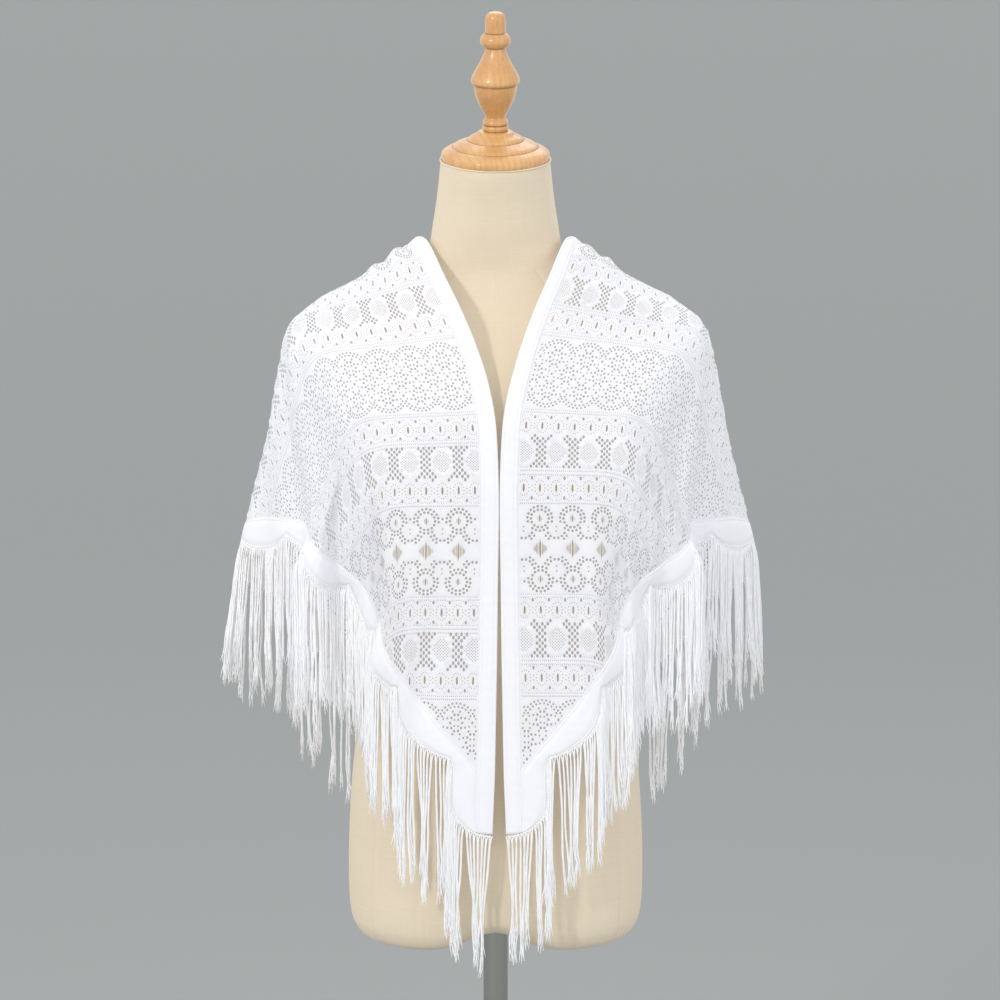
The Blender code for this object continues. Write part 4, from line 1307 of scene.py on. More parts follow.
# ---- the shawl
@dataclass
class LacePanel:
    """One half of the lace, every hole cut.

    A margin is how far points keep from the panel's edges, and a gap how far they keep
    from the nearest hole. Holes shorter than open_from, in millimetres from their
    middle, are crossed by fine net.
    """

    side: Side
    drape: Drape
    chart: LaceChart
    box: tuple[float, float] = (0.85, 0.66)
    neck_band: float = 0.017
    hem_band: float = 0.040
    tuck: float = 0.0025
    edge_step: float = 0.004
    first_hem: float = 0.045
    first_diamonds: float = 0.2950
    first_motif: float = 0.0394
    open_from: float = 2.2
    hole_margin: float = 0.0010
    fill: float = 0.0042
    fill_margin: float = 0.0022
    fill_gap: float = 0.0017
    puff: float = 0.00038
    puff_grows: float = 0.004
    raised_margin: float = 0.0015
    raised_gap: float = 0.0006

    def lace_end(self, run: Array) -> Array:
        """Reach where the hem band begins."""
        return self.drape.hem_line(run) - self.hem_band

    def repeats(self) -> list[tuple[float, float]]:
        """Place the repeats of the lace.

        Returns:
            Lace length from this side's tip to each repeat's middle, and its sense.
        """
        total = 2 * (self.drape.half_edge + EASES[-1].more)
        lengths = [self.first_diamonds + k * self.chart.repeat * MM for k in range(-1, 6)]
        if self.side is Side.RIGHT:
            return [(total - length, -1.0) for length in lengths]
        return [(length, 1.0) for length in lengths]

    def run_of(self, length: Array) -> Array:
        """Run of a place along the lace, measured from the tip."""
        beyond, points = 0.2, 2200
        runs = np.linspace(-beyond, self.drape.half_edge + beyond, points)
        more = np.interp(runs, [e.run for e in EASES], [e.more for e in EASES])
        return np.interp(length, runs + more, runs)

    def flat_points(self, along: Array, across: Array) -> Iterable[Array]:
        """Copies of chart points over the whole panel, as run and reach.

        Args:
            along: Places along the repeat, in millimetres.
            across: Places across it.

        Yields:
            An array of run and reach for each copy.
        """
        columns = int(self.box[1] / (self.chart.pitch * MM)) + 1
        for middle, sense in self.repeats():
            run = self.run_of(middle + sense * along * MM)
            if run.max() < self.hem_band or run.min() > self.drape.half_edge:
                continue
            for k in range(-1, columns):
                reach = self.first_motif + (k * self.chart.pitch + across) * MM
                yield np.stack([run, reach], axis=-1)

    def clear(self, points: Array, margin: float) -> Array:
        """Find which flat points lie inside the lace.

        Args:
            points: Rows of run and reach.
            margin: How far inside.

        Returns:
            True or false for each.
        """
        on_slope = 1.3
        run, reach = points.T
        return ((reach > self.neck_band + margin) & (run < self.drape.half_edge - margin)
                & (reach < self.lace_end(run) - margin * on_slope) & (run > 0.0))

    def cut_holes(self) -> tuple[list[Array], list[bool]]:
        """Find every hole of the panel.

        Returns:
            Each hole's outline in run and reach, counterclockwise, and whether fine
            net crosses it.
        """
        chart_holes = self.chart.holes()
        corners = []
        for hole in chart_holes:
            angles = 2 * np.pi * np.arange(hole.corners) / hole.corners
            corners.append(np.stack([hole.along + hole.half_along * np.cos(angles),
                                     hole.across + hole.half_across * np.sin(angles)], -1))
        points = np.concatenate(corners)
        sizes = [hole.corners for hole in chart_holes]
        starts = np.concatenate([[0], np.cumsum(sizes)[:-1]])
        outlines, netted = [], []
        for flat in self.flat_points(points[:, 0], points[:, 1]):
            good = self.clear(flat, self.hole_margin)
            whole = np.minimum.reduceat(good.astype(int), starts)
            for i in np.flatnonzero(whole):
                rim = flat[starts[i]:starts[i] + sizes[i]]
                outlines.append(rim if self.side is Side.LEFT else rim[::-1])
                netted.append(chart_holes[i].half_along < self.open_from)
        return outlines, netted

    def raised_points(self) -> tuple[Array, Array]:
        """Find points of the raised cords and hoops.

        Returns:
            Their runs and reaches, and their heights.
        """
        on_cord, on_hoop = 16, 20
        rows = [(along, j * self.chart.pitch / on_cord, lift)
                for along, lift in self.chart.cords() for j in range(on_cord)]
        for middle, phase, long, wide, lift in self.chart.hoops():
            for i in range(on_hoop):
                angle = 2 * math.pi * i / on_hoop
                rows.append((middle + long * math.cos(angle),
                             phase + wide * math.sin(angle), lift))
        along, across, lift = np.array(rows).T
        flats, lifts = [], []
        for flat in self.flat_points(along, across):
            good = self.clear(flat, self.raised_margin)
            flats.append(flat[good])
            lifts.append(lift[good] * MM)
        return np.concatenate(flats), np.concatenate(lifts)

    def outline(self) -> Array:
        """Outline the panel, tucked a little under both bands.

        Returns:
            Rows of run and reach.
        """
        least, step = 0.0006, self.edge_step
        near = self.neck_band - self.tuck
        run = self.drape.hem_stations(step, self.first_hem)
        far = self.lace_end(run) + self.tuck
        run, far = run[far > near + least], far[far > near + least]
        end = self.drape.half_edge
        neck = [(r, near) for r in np.arange(run[0], end, step)] + [(end, near)]
        back = [(end, r) for r in np.arange(near + step, far[-1] - step / 2, step)]
        return np.array(neck + back + list(zip(run[::-1], far[::-1])))

    def between_holes(self, rim: Array) -> tuple[Array, Array]:
        """Spread points between the holes.

        Args:
            rim: Run and reach of every hole's corners.

        Returns:
            Runs and reaches of loose and raised points, and their heights.
        """
        tree = KDTree(len(rim))
        for i, (run, reach) in enumerate(rim):
            tree.insert((run, reach, 0.0), i)
        tree.balance()

        def gaps(points: Array) -> Array:
            """Distance from the nearest hole's corner."""
            return np.array([tree.find((run, reach, 0.0))[2] for run, reach in points])

        i, j = np.meshgrid(*(np.arange(int(size / self.fill)) for size in self.box),
                           indexing="ij")
        loose = np.stack([(i + 0.5 * (j % 2)) * self.fill, j * self.fill], -1).reshape(-1, 2)
        loose = loose[self.clear(loose, self.fill_margin)]
        gap = gaps(loose)
        loose, gap = loose[gap > self.fill_gap], gap[gap > self.fill_gap]
        raised, heights = self.raised_points()
        stands = gaps(raised) > self.raised_gap
        puffs = self.puff * np.minimum(1.0, gap / self.puff_grows)
        return (np.concatenate([loose, raised[stands]]),
                np.concatenate([puffs, heights[stands]]))

    def build(self, material: Material) -> Object:
        """Cut, triangulate and hang the panel.

        Args:
            material: The lace.

        Returns:
            The finished piece.
        """
        outline = self.outline()
        holes, netted = self.cut_holes()
        rim = np.concatenate(holes)
        loose, heights = self.between_holes(rim)
        points = np.concatenate([outline, rim, loose])
        lift = np.concatenate([np.zeros(len(outline) + len(rim)), heights])
        faces = [list(range(len(outline)))]
        for hole in holes:
            first = faces[-1][-1] + 1
            faces.append(list(range(first, first + len(hole))))
        inside_only, nearest = 1, 1e-7
        verts, _, made, sources, _, face_sources = delaunay_2d_cdt(
            [Vector(p) for p in points], [], faces, inside_only, nearest, True)
        cloth = [f for f, source in zip(made, face_sources) if source == [0]]
        net = [f for f, source in zip(made, face_sources)
               if len(source) == 2 and netted[max(source) - 1]]
        faces = np.array(cloth + net)
        if self.side is Side.RIGHT:
            faces = faces[:, ::-1]
        used, faces = np.unique(faces, return_inverse=True)
        flat = np.array([(v.x, v.y) for v in verts])[used]
        lifted = np.array([lift[source[0]] if source else 0.0 for source in sources])[used]
        place = self.drape.worn(self.side, flat[:, 0], flat[:, 1], lifted)
        piece = add_piece(f"lace_{self.side.word}_cloth", place,
                          faces.reshape(-1, 3).tolist(), material, flat)
        add_mask(piece, "solid", np.clip(lifted / self.puff, 0.0, 1.0))
        for corner in piece.data.uv_layers["solid"].data[3 * len(cloth):]:
            corner.uv = (1.0, 1.0)
        log.info("%s: %d holes, %d of them netted", piece.name, len(holes), sum(netted))
        return tie(piece, f"lace_{self.side.word}")

    def declare(self) -> None:
        """Work out how deep the panel reaches at the centre back and how wide it is along the
        run; the results are not kept.
        """
        deep = float(self.drape.hem_line(self.drape.half_edge))
        run = np.linspace(0.0, self.drape.half_edge, 400)
        width = np.clip(self.lace_end(run) - self.neck_band, 0.0, None)


class SectionPoint(NamedTuple):
    """A point of a band's cross section: share of its width, and height off the middle."""

    share: float
    lift: float


@dataclass
class PlainBand:
    """A doubled strip of plain cloth with rounded, stitched edges."""

    drape: Drape
    half_thick: float = 0.0008
    stitch_in: float = 0.0032
    stitch_groove: float = 0.00035
    round_in: float = 0.0006
    crown: float = 0.00012
    ripple: float = 0.00016

    def section(self, width: float) -> list[SectionPoint]:
        """Cross section of a band.

        Args:
            width: Its width.

        Returns:
            The section's points, in order round it.
        """
        thick = self.half_thick
        stitch = min(self.stitch_in / width, 0.3)
        edge = min(self.round_in / width, 0.1)
        shares = (edge, stitch - edge, stitch, stitch + edge, 0.34, 0.5, 0.66,
                  1 - stitch - edge, 1 - stitch, 1 - stitch + edge, 1 - edge)
        grooved, crowned = (2, 8), (4, 5, 6)
        top = [SectionPoint(s, thick - (self.stitch_groove if i in grooved else 0.0)
                            + (self.crown if i in crowned else 0.0))
               for i, s in enumerate(shares)]
        under = [SectionPoint(s, -thick) for s in (1 - edge, 0.66, 0.34, edge)]
        return [SectionPoint(0.0, 0.0), *top, SectionPoint(1.0, 0.0), *under]

    def strip(self, stations: Sequence[tuple[Side, float, float, float]]
              ) -> tuple[Array, Array, Array]:
        """Loft the section along stations.

        Args:
            stations: Side, run, near reach and far reach of each.

        Returns:
            Vertices, faces and flat layout.
        """
        points = self.section(max(far - near for _s, _r, near, far in stations))
        verts, flats = [], []
        for side in (Side.LEFT, Side.RIGHT):
            mine = [s for s in stations if s[0] is side]
            if not mine:
                continue
            run = np.array([s[1] for s in mine])[:, None] + np.zeros(len(points))
            near = np.array([s[2] for s in mine])[:, None]
            far = np.array([s[3] for s in mine])[:, None]
            reach = near + (far - near) * np.array([p.share for p in points])
            lift = np.zeros(reach.shape) + np.array([p.lift for p in points])
            lift = lift * np.clip((far - near) / 0.004, 0.15, 1.0)
            ripple = self.ripple * np.sin(run * 610.0 + reach * 90.0) * np.sin(run * 97.0)
            verts.append(self.drape.worn(side, run, reach, lift + ripple))
            flats.append(np.stack([run, reach], -1))
        place = np.concatenate(verts).reshape(-1, 3)
        flat = np.concatenate(flats).reshape(-1, 2)
        faces = grid_faces(len(stations), len(points))
        return place, faces, flat


@dataclass
class NeckBinding(PlainBand):
    """The plain binding along the whole neck and front edge."""

    width: float = 0.017
    over: float = 0.0011
    over_until: float = 0.50
    spacing: float = 0.0030

    def build(self, material: Material) -> Object:
        """Make the binding, from the left tip round the neck to the right tip.

        Args:
            material: The plain cloth.

        Returns:
            The finished piece.
        """
        runs = np.linspace(0.0016, self.drape.half_edge,
                           int(self.drape.half_edge / self.spacing))
        far = np.minimum(self.width, self.drape.hem_reach(runs) - 0.0004)
        near = -self.over * np.clip((self.over_until - runs) / 0.1, 0.0, 1.0) * np.clip(
            (runs - 0.01) / 0.05, 0.0, 1.0)
        rows = list(zip(runs, near, far))
        stations = [(Side.LEFT, *row) for row in rows]
        stations += [(Side.RIGHT, *row) for row in rows[-2::-1]]
        place, faces, flat = self.strip(stations)
        sides = np.repeat([s[0].value for s in stations], len(self.section(self.width)))
        flat[sides > 0, 0] = 2 * self.drape.half_edge - flat[sides > 0, 0]
        piece = add_piece("neck_binding", place, faces, material, flat * [0.5, 1.0])
        close_ends(piece)
        return tie(piece, "neck_band")


@dataclass
class HemBand(PlainBand):
    """The plain band above the fringe, on one side."""

    side: Side = Side.LEFT
    width: float = 0.040
    neck_band: float = 0.0150
    spacing: float = 0.0030

    def build(self, material: Material) -> Object:
        """Make the band from the front tip to the centre back.

        Args:
            material: The plain cloth.

        Returns:
            The finished piece.
        """
        runs = self.drape.hem_stations(self.spacing)
        near = np.maximum(self.neck_band, self.drape.hem_line(runs) - self.width)
        far = np.maximum(self.drape.hem_reach(runs), near + 0.0008)
        place, faces, flat = self.strip(
            [(self.side, r, n, f) for r, n, f in zip(runs, near, far)])
        piece = add_piece(f"hem_{self.side.word}_binding", place, faces, material, flat)
        close_ends(piece)
        return tie(piece, f"hem_band_{self.side.word}")


def close_ends(piece: Object) -> None:
    """Cap the open ends of a lofted strip and face it outwards."""
    bm = bmesh.new()
    bm.from_mesh(piece.data)
    bmesh.ops.holes_fill(bm, edges=[e for e in bm.edges if e.is_boundary], sides=0)
    bmesh.ops.recalc_face_normals(bm, faces=bm.faces)
    bm.to_mesh(piece.data)
    bm.free()


class Roots(NamedTuple):
    """Where the cords of one side hang from, and their directions there."""

    place: Array
    away: Array
    level: Array
    along: Array
    tangent: Array
    lean: Array
    takes: Array
    flare: Array


class Cord(NamedTuple):
    """How one cord of the fringe hangs, and from where its yarns part."""

    length: float
    fork: float
    phase: float
    pitch: float
    bend: float
    stray: float


@dataclass
class Fringe:
    """The long fringe of one side: cords of a few yarns looped through the hem's edge."""

    side: Side
    drape: Drape
    spacing: float = 0.0043
    length: tuple[float, float] = (0.118, 0.156)
    yarns: int = 4
    radius: float = 0.00066
    rings: int = 18
    corners: int = 3
    bundle: tuple[float, float] = (0.012, 0.030)
    gather: tuple[float, float] = (0.45, 0.88)
    sway: float = 0.0017
    stray: float = 0.0016
    stands_off: float = 0.0014
    loop_half: float = 0.0017
    yarn_off: float = 0.00062
    splay: float = 0.0020
    twist: float = 0.011
    flares: tuple[float, float] = (0.017, 0.006)
    flare_run: float = 0.575
    flare_width: float = 0.055
    edge_pitch: float = 0.0016
    edge_corners: int = 5
    edge_half: tuple[float, float] = (0.0010, 0.0009)
    seed: int = 21

    def edge_cord(self) -> tuple[Array, Array, Array]:
        """The looped cord along the hem's edge.

        Returns:
            Vertices, faces and flat layout.
        """
        count = self.edge_corners
        runs = self.drape.hem_stations(self.edge_pitch, 0.00002)
        reach = self.drape.hem_reach(runs)
        away = self.drape.away(self.side, runs)
        normal = self.drape.normal(self.side, runs, reach)
        tooth = 0.5 + 0.5 * np.cos(np.arange(len(runs)) * math.pi)
        middle = (self.drape.worn(self.side, runs, reach)
                  + away * (0.0004 + 0.0012 * tooth)[:, None])
        rings = []
        for k in range(count):
            angle = 2 * math.pi * k / count
            rings.append(middle + normal * self.edge_half[0] * math.cos(angle)
                         + away * self.edge_half[1] * math.sin(angle))
        verts = np.stack(rings, axis=1).reshape(-1, 3)
        along = np.repeat(np.arange(len(runs)) * self.edge_pitch, count)
        flat = np.stack([along, np.tile(np.arange(count) * 0.001, len(runs))], -1)
        return verts, grid_faces(len(runs), count), flat

    def bundles(self, roots: Array, rng: random.Random) -> tuple[Array, Array]:
        """Where each cord leans to, as neighbours hang together.

        Args:
            roots: Where the cords start.
            rng: The side's random numbers.

        Returns:
            A level lean for each cord, and how much of it the cord takes.
        """
        lean = np.zeros_like(roots)
        takes = np.zeros(len(roots))
        first = 0
        while first < len(roots):
            count = max(2, int(round(rng.uniform(*self.bundle) / self.spacing)))
            last = min(first + count, len(roots))
            middle = roots[first:last].mean(axis=0)
            lean[first:last] = middle - roots[first:last]
            takes[first:last] = rng.uniform(*self.gather)
            first = last
        lean[:, 2] = 0.0
        return lean, takes

    def roots(self, rng: random.Random) -> Roots:
        """Find where the cords hang from.

        Args:
            rng: The side's random numbers.

        Returns:
            The roots.
        """
        runs = self.drape.hem_stations(self.spacing, 0.00003)
        reach = self.drape.hem_reach(runs)
        place = self.drape.worn(self.side, runs, reach)
        level = self.drape.normal(self.side, runs, reach) * [1.0, 1.0, 0.0]
        level /= np.linalg.norm(level, axis=1, keepdims=True)
        tangent = np.gradient(place, axis=0)
        tangent /= np.linalg.norm(tangent, axis=1, keepdims=True)
        widest = self.flares[0 if self.side is Side.LEFT else 1]
        flare = widest * np.exp(-((runs - self.flare_run) / self.flare_width) ** 2)
        return Roots(place, self.drape.away(self.side, runs), level,
                     np.cross(level, [0.0, 0.0, 1.0]), tangent, *self.bundles(place, rng), flare)

    def yarn(self, roots: Roots, i: int, cord: Cord, k: int, rng: random.Random
             ) -> tuple[Array, Array]:
        """Hang one yarn.

        Args:
            roots: Where the cords hang from.
            i: Number of the cord.
            cord: How it hangs.
            k: Number of the yarn in its cord.
            rng: The side's random numbers.

        Returns:
            The yarn's vertices, and how far each of its rings has dropped.
        """
        share = np.linspace(0.0, 1.0, self.rings) ** 1.3
        drop = share * (cord.length * (1.0 - rng.uniform(0.0, 0.07)))
        settle = 1.0 - np.exp(-drop / 0.006)
        turn = 2 * math.pi * k / self.yarns + drop / self.twist + cord.phase
        loose = np.clip((share - cord.fork) / (1.0 - cord.fork), 0.0, 1.0)
        off = self.yarn_off + self.splay * loose * rng.uniform(0.2, 1.4)
        wave = cord.bend * share ** 1.1 * np.sin(drop / cord.pitch + cord.phase)
        out = 0.7 * cord.bend * share * np.sin(drop / (cord.pitch * 1.2) + 2.0 * cord.phase)
        ajar = (self.loop_half if k < self.yarns / 2 else -self.loop_half) * np.exp(
            -drop / 0.0045)
        aside = off * np.cos(turn) * settle + wave + cord.stray * share
        ahead = (off * np.sin(turn) * settle + out + self.stands_off * settle
                 + roots.flare[i] * share)
        line = (roots.place[i] + roots.away[i] * (0.0008 + 0.0026 * settle)[:, None]
                + roots.tangent[i] * ajar[:, None]
                + roots.lean[i] * (roots.takes[i] * share ** 0.9)[:, None]
                + roots.along[i] * aside[:, None] + roots.level[i] * ahead[:, None])
        line[:, 2] -= drop - 0.002 * settle
        thick = self.radius * rng.uniform(0.85, 1.15) * (1.0 + 0.35 * np.exp(
            -drop / 0.005)) * np.where(share > 0.93, 1.2, 1.0)
        thick[-1] = self.radius * 0.35
        strand = []
        for c in range(self.corners):
            angle = 2 * math.pi * c / self.corners
            strand.append(line + roots.along[i] * (thick * math.cos(angle))[:, None]
                          + roots.level[i] * (thick * math.sin(angle))[:, None])
        return np.stack(strand, axis=1).reshape(-1, 3), drop

    def threads(self) -> tuple[Array, Array, Array]:
        """All hanging yarns.

        Returns:
            Vertices, faces and flat layout.
        """
        rng = random.Random(self.seed + self.side.value)
        roots = self.roots(rng)
        slow = [(rng.uniform(0.05, 0.12), rng.uniform(0, 6.28)) for _ in range(3)]
        faces_once = grid_faces(self.rings, self.corners)
        around = np.tile(np.arange(self.corners) * 0.0012, self.rings)
        verts, faces, flats = [], [], []
        for i in range(len(roots.place)):
            grown = sum(math.sin(i * self.spacing / pitch + phase)
                        for pitch, phase in slow) / len(slow)
            cord = Cord(length=rng.uniform(*self.length) * (1.0 + 0.09 * grown),
                        fork=rng.uniform(0.55, 0.97), phase=rng.uniform(0, 6.28),
                        pitch=rng.uniform(0.014, 0.030),
                        bend=rng.uniform(0.4, 1.5) * self.sway,
                        stray=rng.gauss(0.0, self.stray))
            for k in range(self.yarns):
                strand, drop = self.yarn(roots, i, cord, k, rng)
                faces.append(faces_once + len(verts) * self.rings * self.corners)
                verts.append(strand)
                flats.append(np.stack([np.repeat(drop, self.corners),
                                       around + len(verts) * 0.0041], -1))
        return np.concatenate(verts), np.concatenate(faces), np.concatenate(flats)

    def build(self, material: Material) -> Object:
        """Make the fringe as one piece.

        Args:
            material: The thread.

        Returns:
            The finished piece.
        """
        cord, cord_faces, cord_flat = self.edge_cord()
        threads, thread_faces, thread_flat = self.threads()
        piece = add_piece(f"fringe_{self.side.word}_threads", np.concatenate([cord, threads]),
                          np.concatenate([cord_faces, thread_faces + len(cord)]), material,
                          np.concatenate([cord_flat, thread_flat]))
        return tie(piece, f"fringe_{self.side.word}")


# ---- the dress form
class Ring(NamedTuple):
    """One level section of the form's body."""

    up: float
    half_width: float
    front: float
    back: float
    middle: float
    square: float


FORM_RINGS = tuple(Ring(*row) for row in (
    (0.623, 0.108, 0.068, 0.078, 0.0, 2.5), (0.6262, 0.134, 0.09, 0.1, 0.0, 2.5),
    (0.637, 0.1485, 0.102, 0.115, 0.0, 2.5), (0.662, 0.1555, 0.107, 0.123, 0.0, 2.4),
    (0.73, 0.156, 0.108, 0.127, 0.0, 2.2), (0.81, 0.151, 0.108, 0.125, 0.0, 2.2),
    (0.87, 0.142, 0.104, 0.108, 0.0, 2.2), (0.93, 0.128, 0.094, 0.086, 0.0, 2.2),
    (0.985, 0.118, 0.088, 0.072, 0.0, 2.2), (1.04, 0.122, 0.094, 0.076, 0.0, 2.2),
    (1.1, 0.136, 0.108, 0.092, 0.0, 2.2), (1.155, 0.148, 0.12, 0.104, 0.0, 2.2),
    (1.205, 0.16, 0.112, 0.11, 0.0, 2.2), (1.245, 0.176, 0.092, 0.106, 0.0, 2.2),
    (1.27, 0.18, 0.072, 0.098, 0.002, 2.2), (1.292, 0.155, 0.056, 0.086, 0.004, 2.1),
    (1.312, 0.123, 0.05, 0.074, 0.005, 2.0), (1.332, 0.09, 0.048, 0.064, 0.004, 2.0),
    (1.352, 0.071, 0.05, 0.056, 0.0, 2.0),
))


class NeckRing(NamedTuple):
    """One section of the neck, square to its tilted axis."""

    height: float
    half_width: float
    half_depth: float


NECK_RINGS = tuple(NeckRing(*row) for row in (
    (0.02, 0.0645, 0.053), (0.05, 0.06, 0.053), (0.076, 0.0572, 0.055),
    (0.0855, 0.0565, 0.0545),
))


@dataclass
class FormBody:
    """Torso and neck of the dress form under its linen cover.

    The underside rises to a notch in the middle, which fades out at notch_top. Seams
    stand at seam_angles and end at seam_top.
    """

    segments: int = 112
    levels: int = 7
    underside: float = 0.622
    notch_rise: float = 0.0235
    notch_half_width: float = 0.040
    notch_top: float = 0.680
    neck_foot: tuple[float, float, float] = (0.0, 0.0, 1.362)
    neck_tilt: float = math.radians(12.0)
    seam_angles: tuple[float, ...] = (-62.0, -118.0, -36.0, -144.0, 62.0, 118.0, 90.0)
    seam_half: float = 0.9
    seam_depth: float = 0.0007
    seam_top: float = 1.335
    cloth_round: float = 0.9
    welt_half: float = 0.0011
    welt_size: tuple[int, int] = (96, 8)

    def angles(self) -> tuple[Array, Array]:
        """Angles of the columns, and which of them are seams."""
        plain = np.arange(self.segments) * 360.0 / self.segments - 180.0
        seams = np.array(self.seam_angles)
        far = np.min(np.abs(plain[:, None] - seams[None]), axis=1) > self.seam_half * 1.8
        every = np.concatenate([plain[far], seams, seams - self.seam_half,
                                seams + self.seam_half])
        marks = np.concatenate([np.zeros(far.sum()), np.ones(len(seams)),
                                np.zeros(2 * len(seams))])
        order = np.argsort(every)
        return np.radians(every[order]), marks[order]

    def neck_point(self, height: float) -> Array:
        """Centre of the neck at a height along its tilted axis."""
        foot = np.array(self.neck_foot)
        return foot + height * np.array(
            [0.0, -math.sin(self.neck_tilt), math.cos(self.neck_tilt)])

    def notch(self, x: Array) -> Array:
        """Rise of the underside at a distance from its middle."""
        return self.notch_rise * np.exp(-(x / self.notch_half_width) ** 2)

    def rings(self, angles: Array) -> Array:
        """Points of every section.

        Args:
            angles: Angles of the columns.

        Returns:
            An array of x, y, z for each section and angle.
        """
        c, s = np.cos(angles), np.sin(angles)
        found = []
        for ring in FORM_RINGS:
            power = 2.0 / ring.square
            x = ring.half_width * np.sign(c) * np.abs(c) ** power
            depth = np.where(s > 0, ring.back, ring.front)
            y = ring.middle + depth * np.sign(s) * np.abs(s) ** power
            fade = max(0.0, (self.notch_top - ring.up) / (self.notch_top - self.underside))
            found.append(np.stack([x, y, ring.up + fade * self.notch(x)], -1))
        for ring in NECK_RINGS:
            across = ring.half_depth * s
            centre = self.neck_point(ring.height)
            found.append(np.stack([centre[0] + ring.half_width * c,
                                   centre[1] + across * math.cos(self.neck_tilt),
                                   centre[2] + across * math.sin(self.neck_tilt)], -1))
        return np.array(found)

    def build(self, material: Material) -> Object:
        """Make the body with its panel seams.

        Args:
            material: The linen.

        Returns:
            The finished piece.
        """
        angles, marks = self.angles()
        rings = self.rings(angles)
        count = len(rings)
        where = np.linspace(0.0, count - 1, (count - 1) * self.levels + 1)
        surface = through_rows(np.arange(float(count)), rings.reshape(count, -1), where)
        surface = surface.reshape(len(where), len(angles), 3)
        inward = (surface.mean(axis=1, keepdims=True) - surface) * [1.0, 1.0, 0.0]
        inward /= np.linalg.norm(inward, axis=-1, keepdims=True)
        seamed = surface[..., 2:3] < self.seam_top
        surface = surface + inward * marks[None, :, None] * self.seam_depth * seamed
        bottom = []
        for k in (0.02, 0.4, 0.75, 0.94):
            ring = surface[0] * [k, k, 0.0]
            ring[:, 2] = self.underside + 0.001 + self.notch(ring[:, 0])
            bottom.append(ring)
        centre = self.neck_point(NECK_RINGS[-1].height)
        top = [centre + (surface[-1] - centre) * k for k in (0.96, 0.5, 0.02)]
        whole = np.concatenate([np.array(bottom), surface, np.array(top)])
        rise = np.linalg.norm(np.diff(surface, axis=0), axis=-1).mean(axis=1)
        height = np.concatenate([np.linspace(-0.1, -0.005, len(bottom)), [0.0],
                                 np.cumsum(rise), [0.86, 0.88, 0.90]])
        around = np.degrees(angles) / 360.0 * self.cloth_round
        flat = np.stack(np.meshgrid(around, height, indexing="xy"), -1).reshape(-1, 2)
        faces = grid_faces(len(whole), len(angles))
        piece = add_piece("form_linen_body", whole.reshape(-1, 3), faces, material, flat)
        close_ends(piece)
        return tie(piece, "form_torso")

    def welt(self, material: Material) -> Object:
        """Make the corded edge of the cover round the wooden cap.

        Args:
            material: The linen.

        Returns:
            The finished piece.
        """
        count, corners = self.welt_size
        angles = np.arange(count) * 2 * math.pi / count
        ring = NECK_RINGS[-1]
        centre = self.neck_point(ring.height + 0.0006)
        axis = self.neck_point(1.0) - self.neck_point(0.0)
        outward = np.stack([np.cos(angles), np.sin(angles) * math.cos(self.neck_tilt),
                            np.sin(angles) * math.sin(self.neck_tilt)], -1)
        line = centre + outward * [ring.half_width, ring.half_depth, ring.half_depth]
        turns = [2 * math.pi * k / corners for k in range(corners)]
        place = np.stack([line + (outward * math.cos(turn) + axis * math.sin(turn))
                          * self.welt_half for turn in turns], axis=1).reshape(-1, 3)
        faces = grid_faces(count + 1, corners) % (count * corners)
        flat = np.stack([np.repeat(angles * 0.057, corners),
                         np.tile(np.arange(corners) * 0.001, count)], -1)
        return tie(add_piece("form_neck_welt", place, faces, material, flat))


class Turn(NamedTuple):
    """A point of a turned profile; a groove is where two curves meet, and a line of painted
    shade lies along it.
    """

    radius: float
    height: float
    sharp: bool = False
    # Whether a line of painted shade lies along the groove at this point.
    shaded_groove: bool = False


CAP_PROFILE = tuple(Turn(*row) for row in (
    (0.0002, 0.0), (0.054, 0.0, True), (0.0556, 0.0012), (0.056, 0.003), (0.0558, 0.0055),
    (0.0548, 0.008), (0.05, 0.0112), (0.0448, 0.0134), (0.044, 0.013, True, True),
    (0.0432, 0.0146, True), (0.0405, 0.0166), (0.033, 0.0196), (0.03, 0.0206),
    (0.0292, 0.0202, True, True), (0.0284, 0.0217, True), (0.0262, 0.0238), (0.0205, 0.0268),
    (0.015, 0.0303), (0.0002, 0.0304, True),
))

FINIAL_PROFILE = tuple(Turn(*row) for row in (
    (0.0002, 0.0001), (0.0124, 0.0002, True), (0.0132, 0.0014), (0.0135, 0.0034),
    (0.013, 0.0056), (0.012, 0.0064, True, True), (0.0128, 0.0074), (0.0131, 0.009),
    (0.0126, 0.011), (0.0112, 0.0126), (0.0104, 0.015), (0.0124, 0.0205), (0.016, 0.027),
    (0.0194, 0.035), (0.0215, 0.043), (0.0222, 0.049), (0.0219, 0.0504, True, True),
    (0.0232, 0.0512), (0.0248, 0.053), (0.025, 0.0552), (0.024, 0.059), (0.0196, 0.068),
    (0.015, 0.0765), (0.0118, 0.084), (0.0102, 0.0895), (0.0102, 0.0908, True, True),
    (0.0128, 0.0922), (0.015, 0.095), (0.0156, 0.0982), (0.0148, 0.102), (0.0122, 0.1052),
    (0.0106, 0.1064, True, True), (0.0105, 0.11), (0.0104, 0.118), (0.0098, 0.1235),
    (0.0078, 0.1272), (0.0044, 0.1288), (0.0002, 0.1291),
))


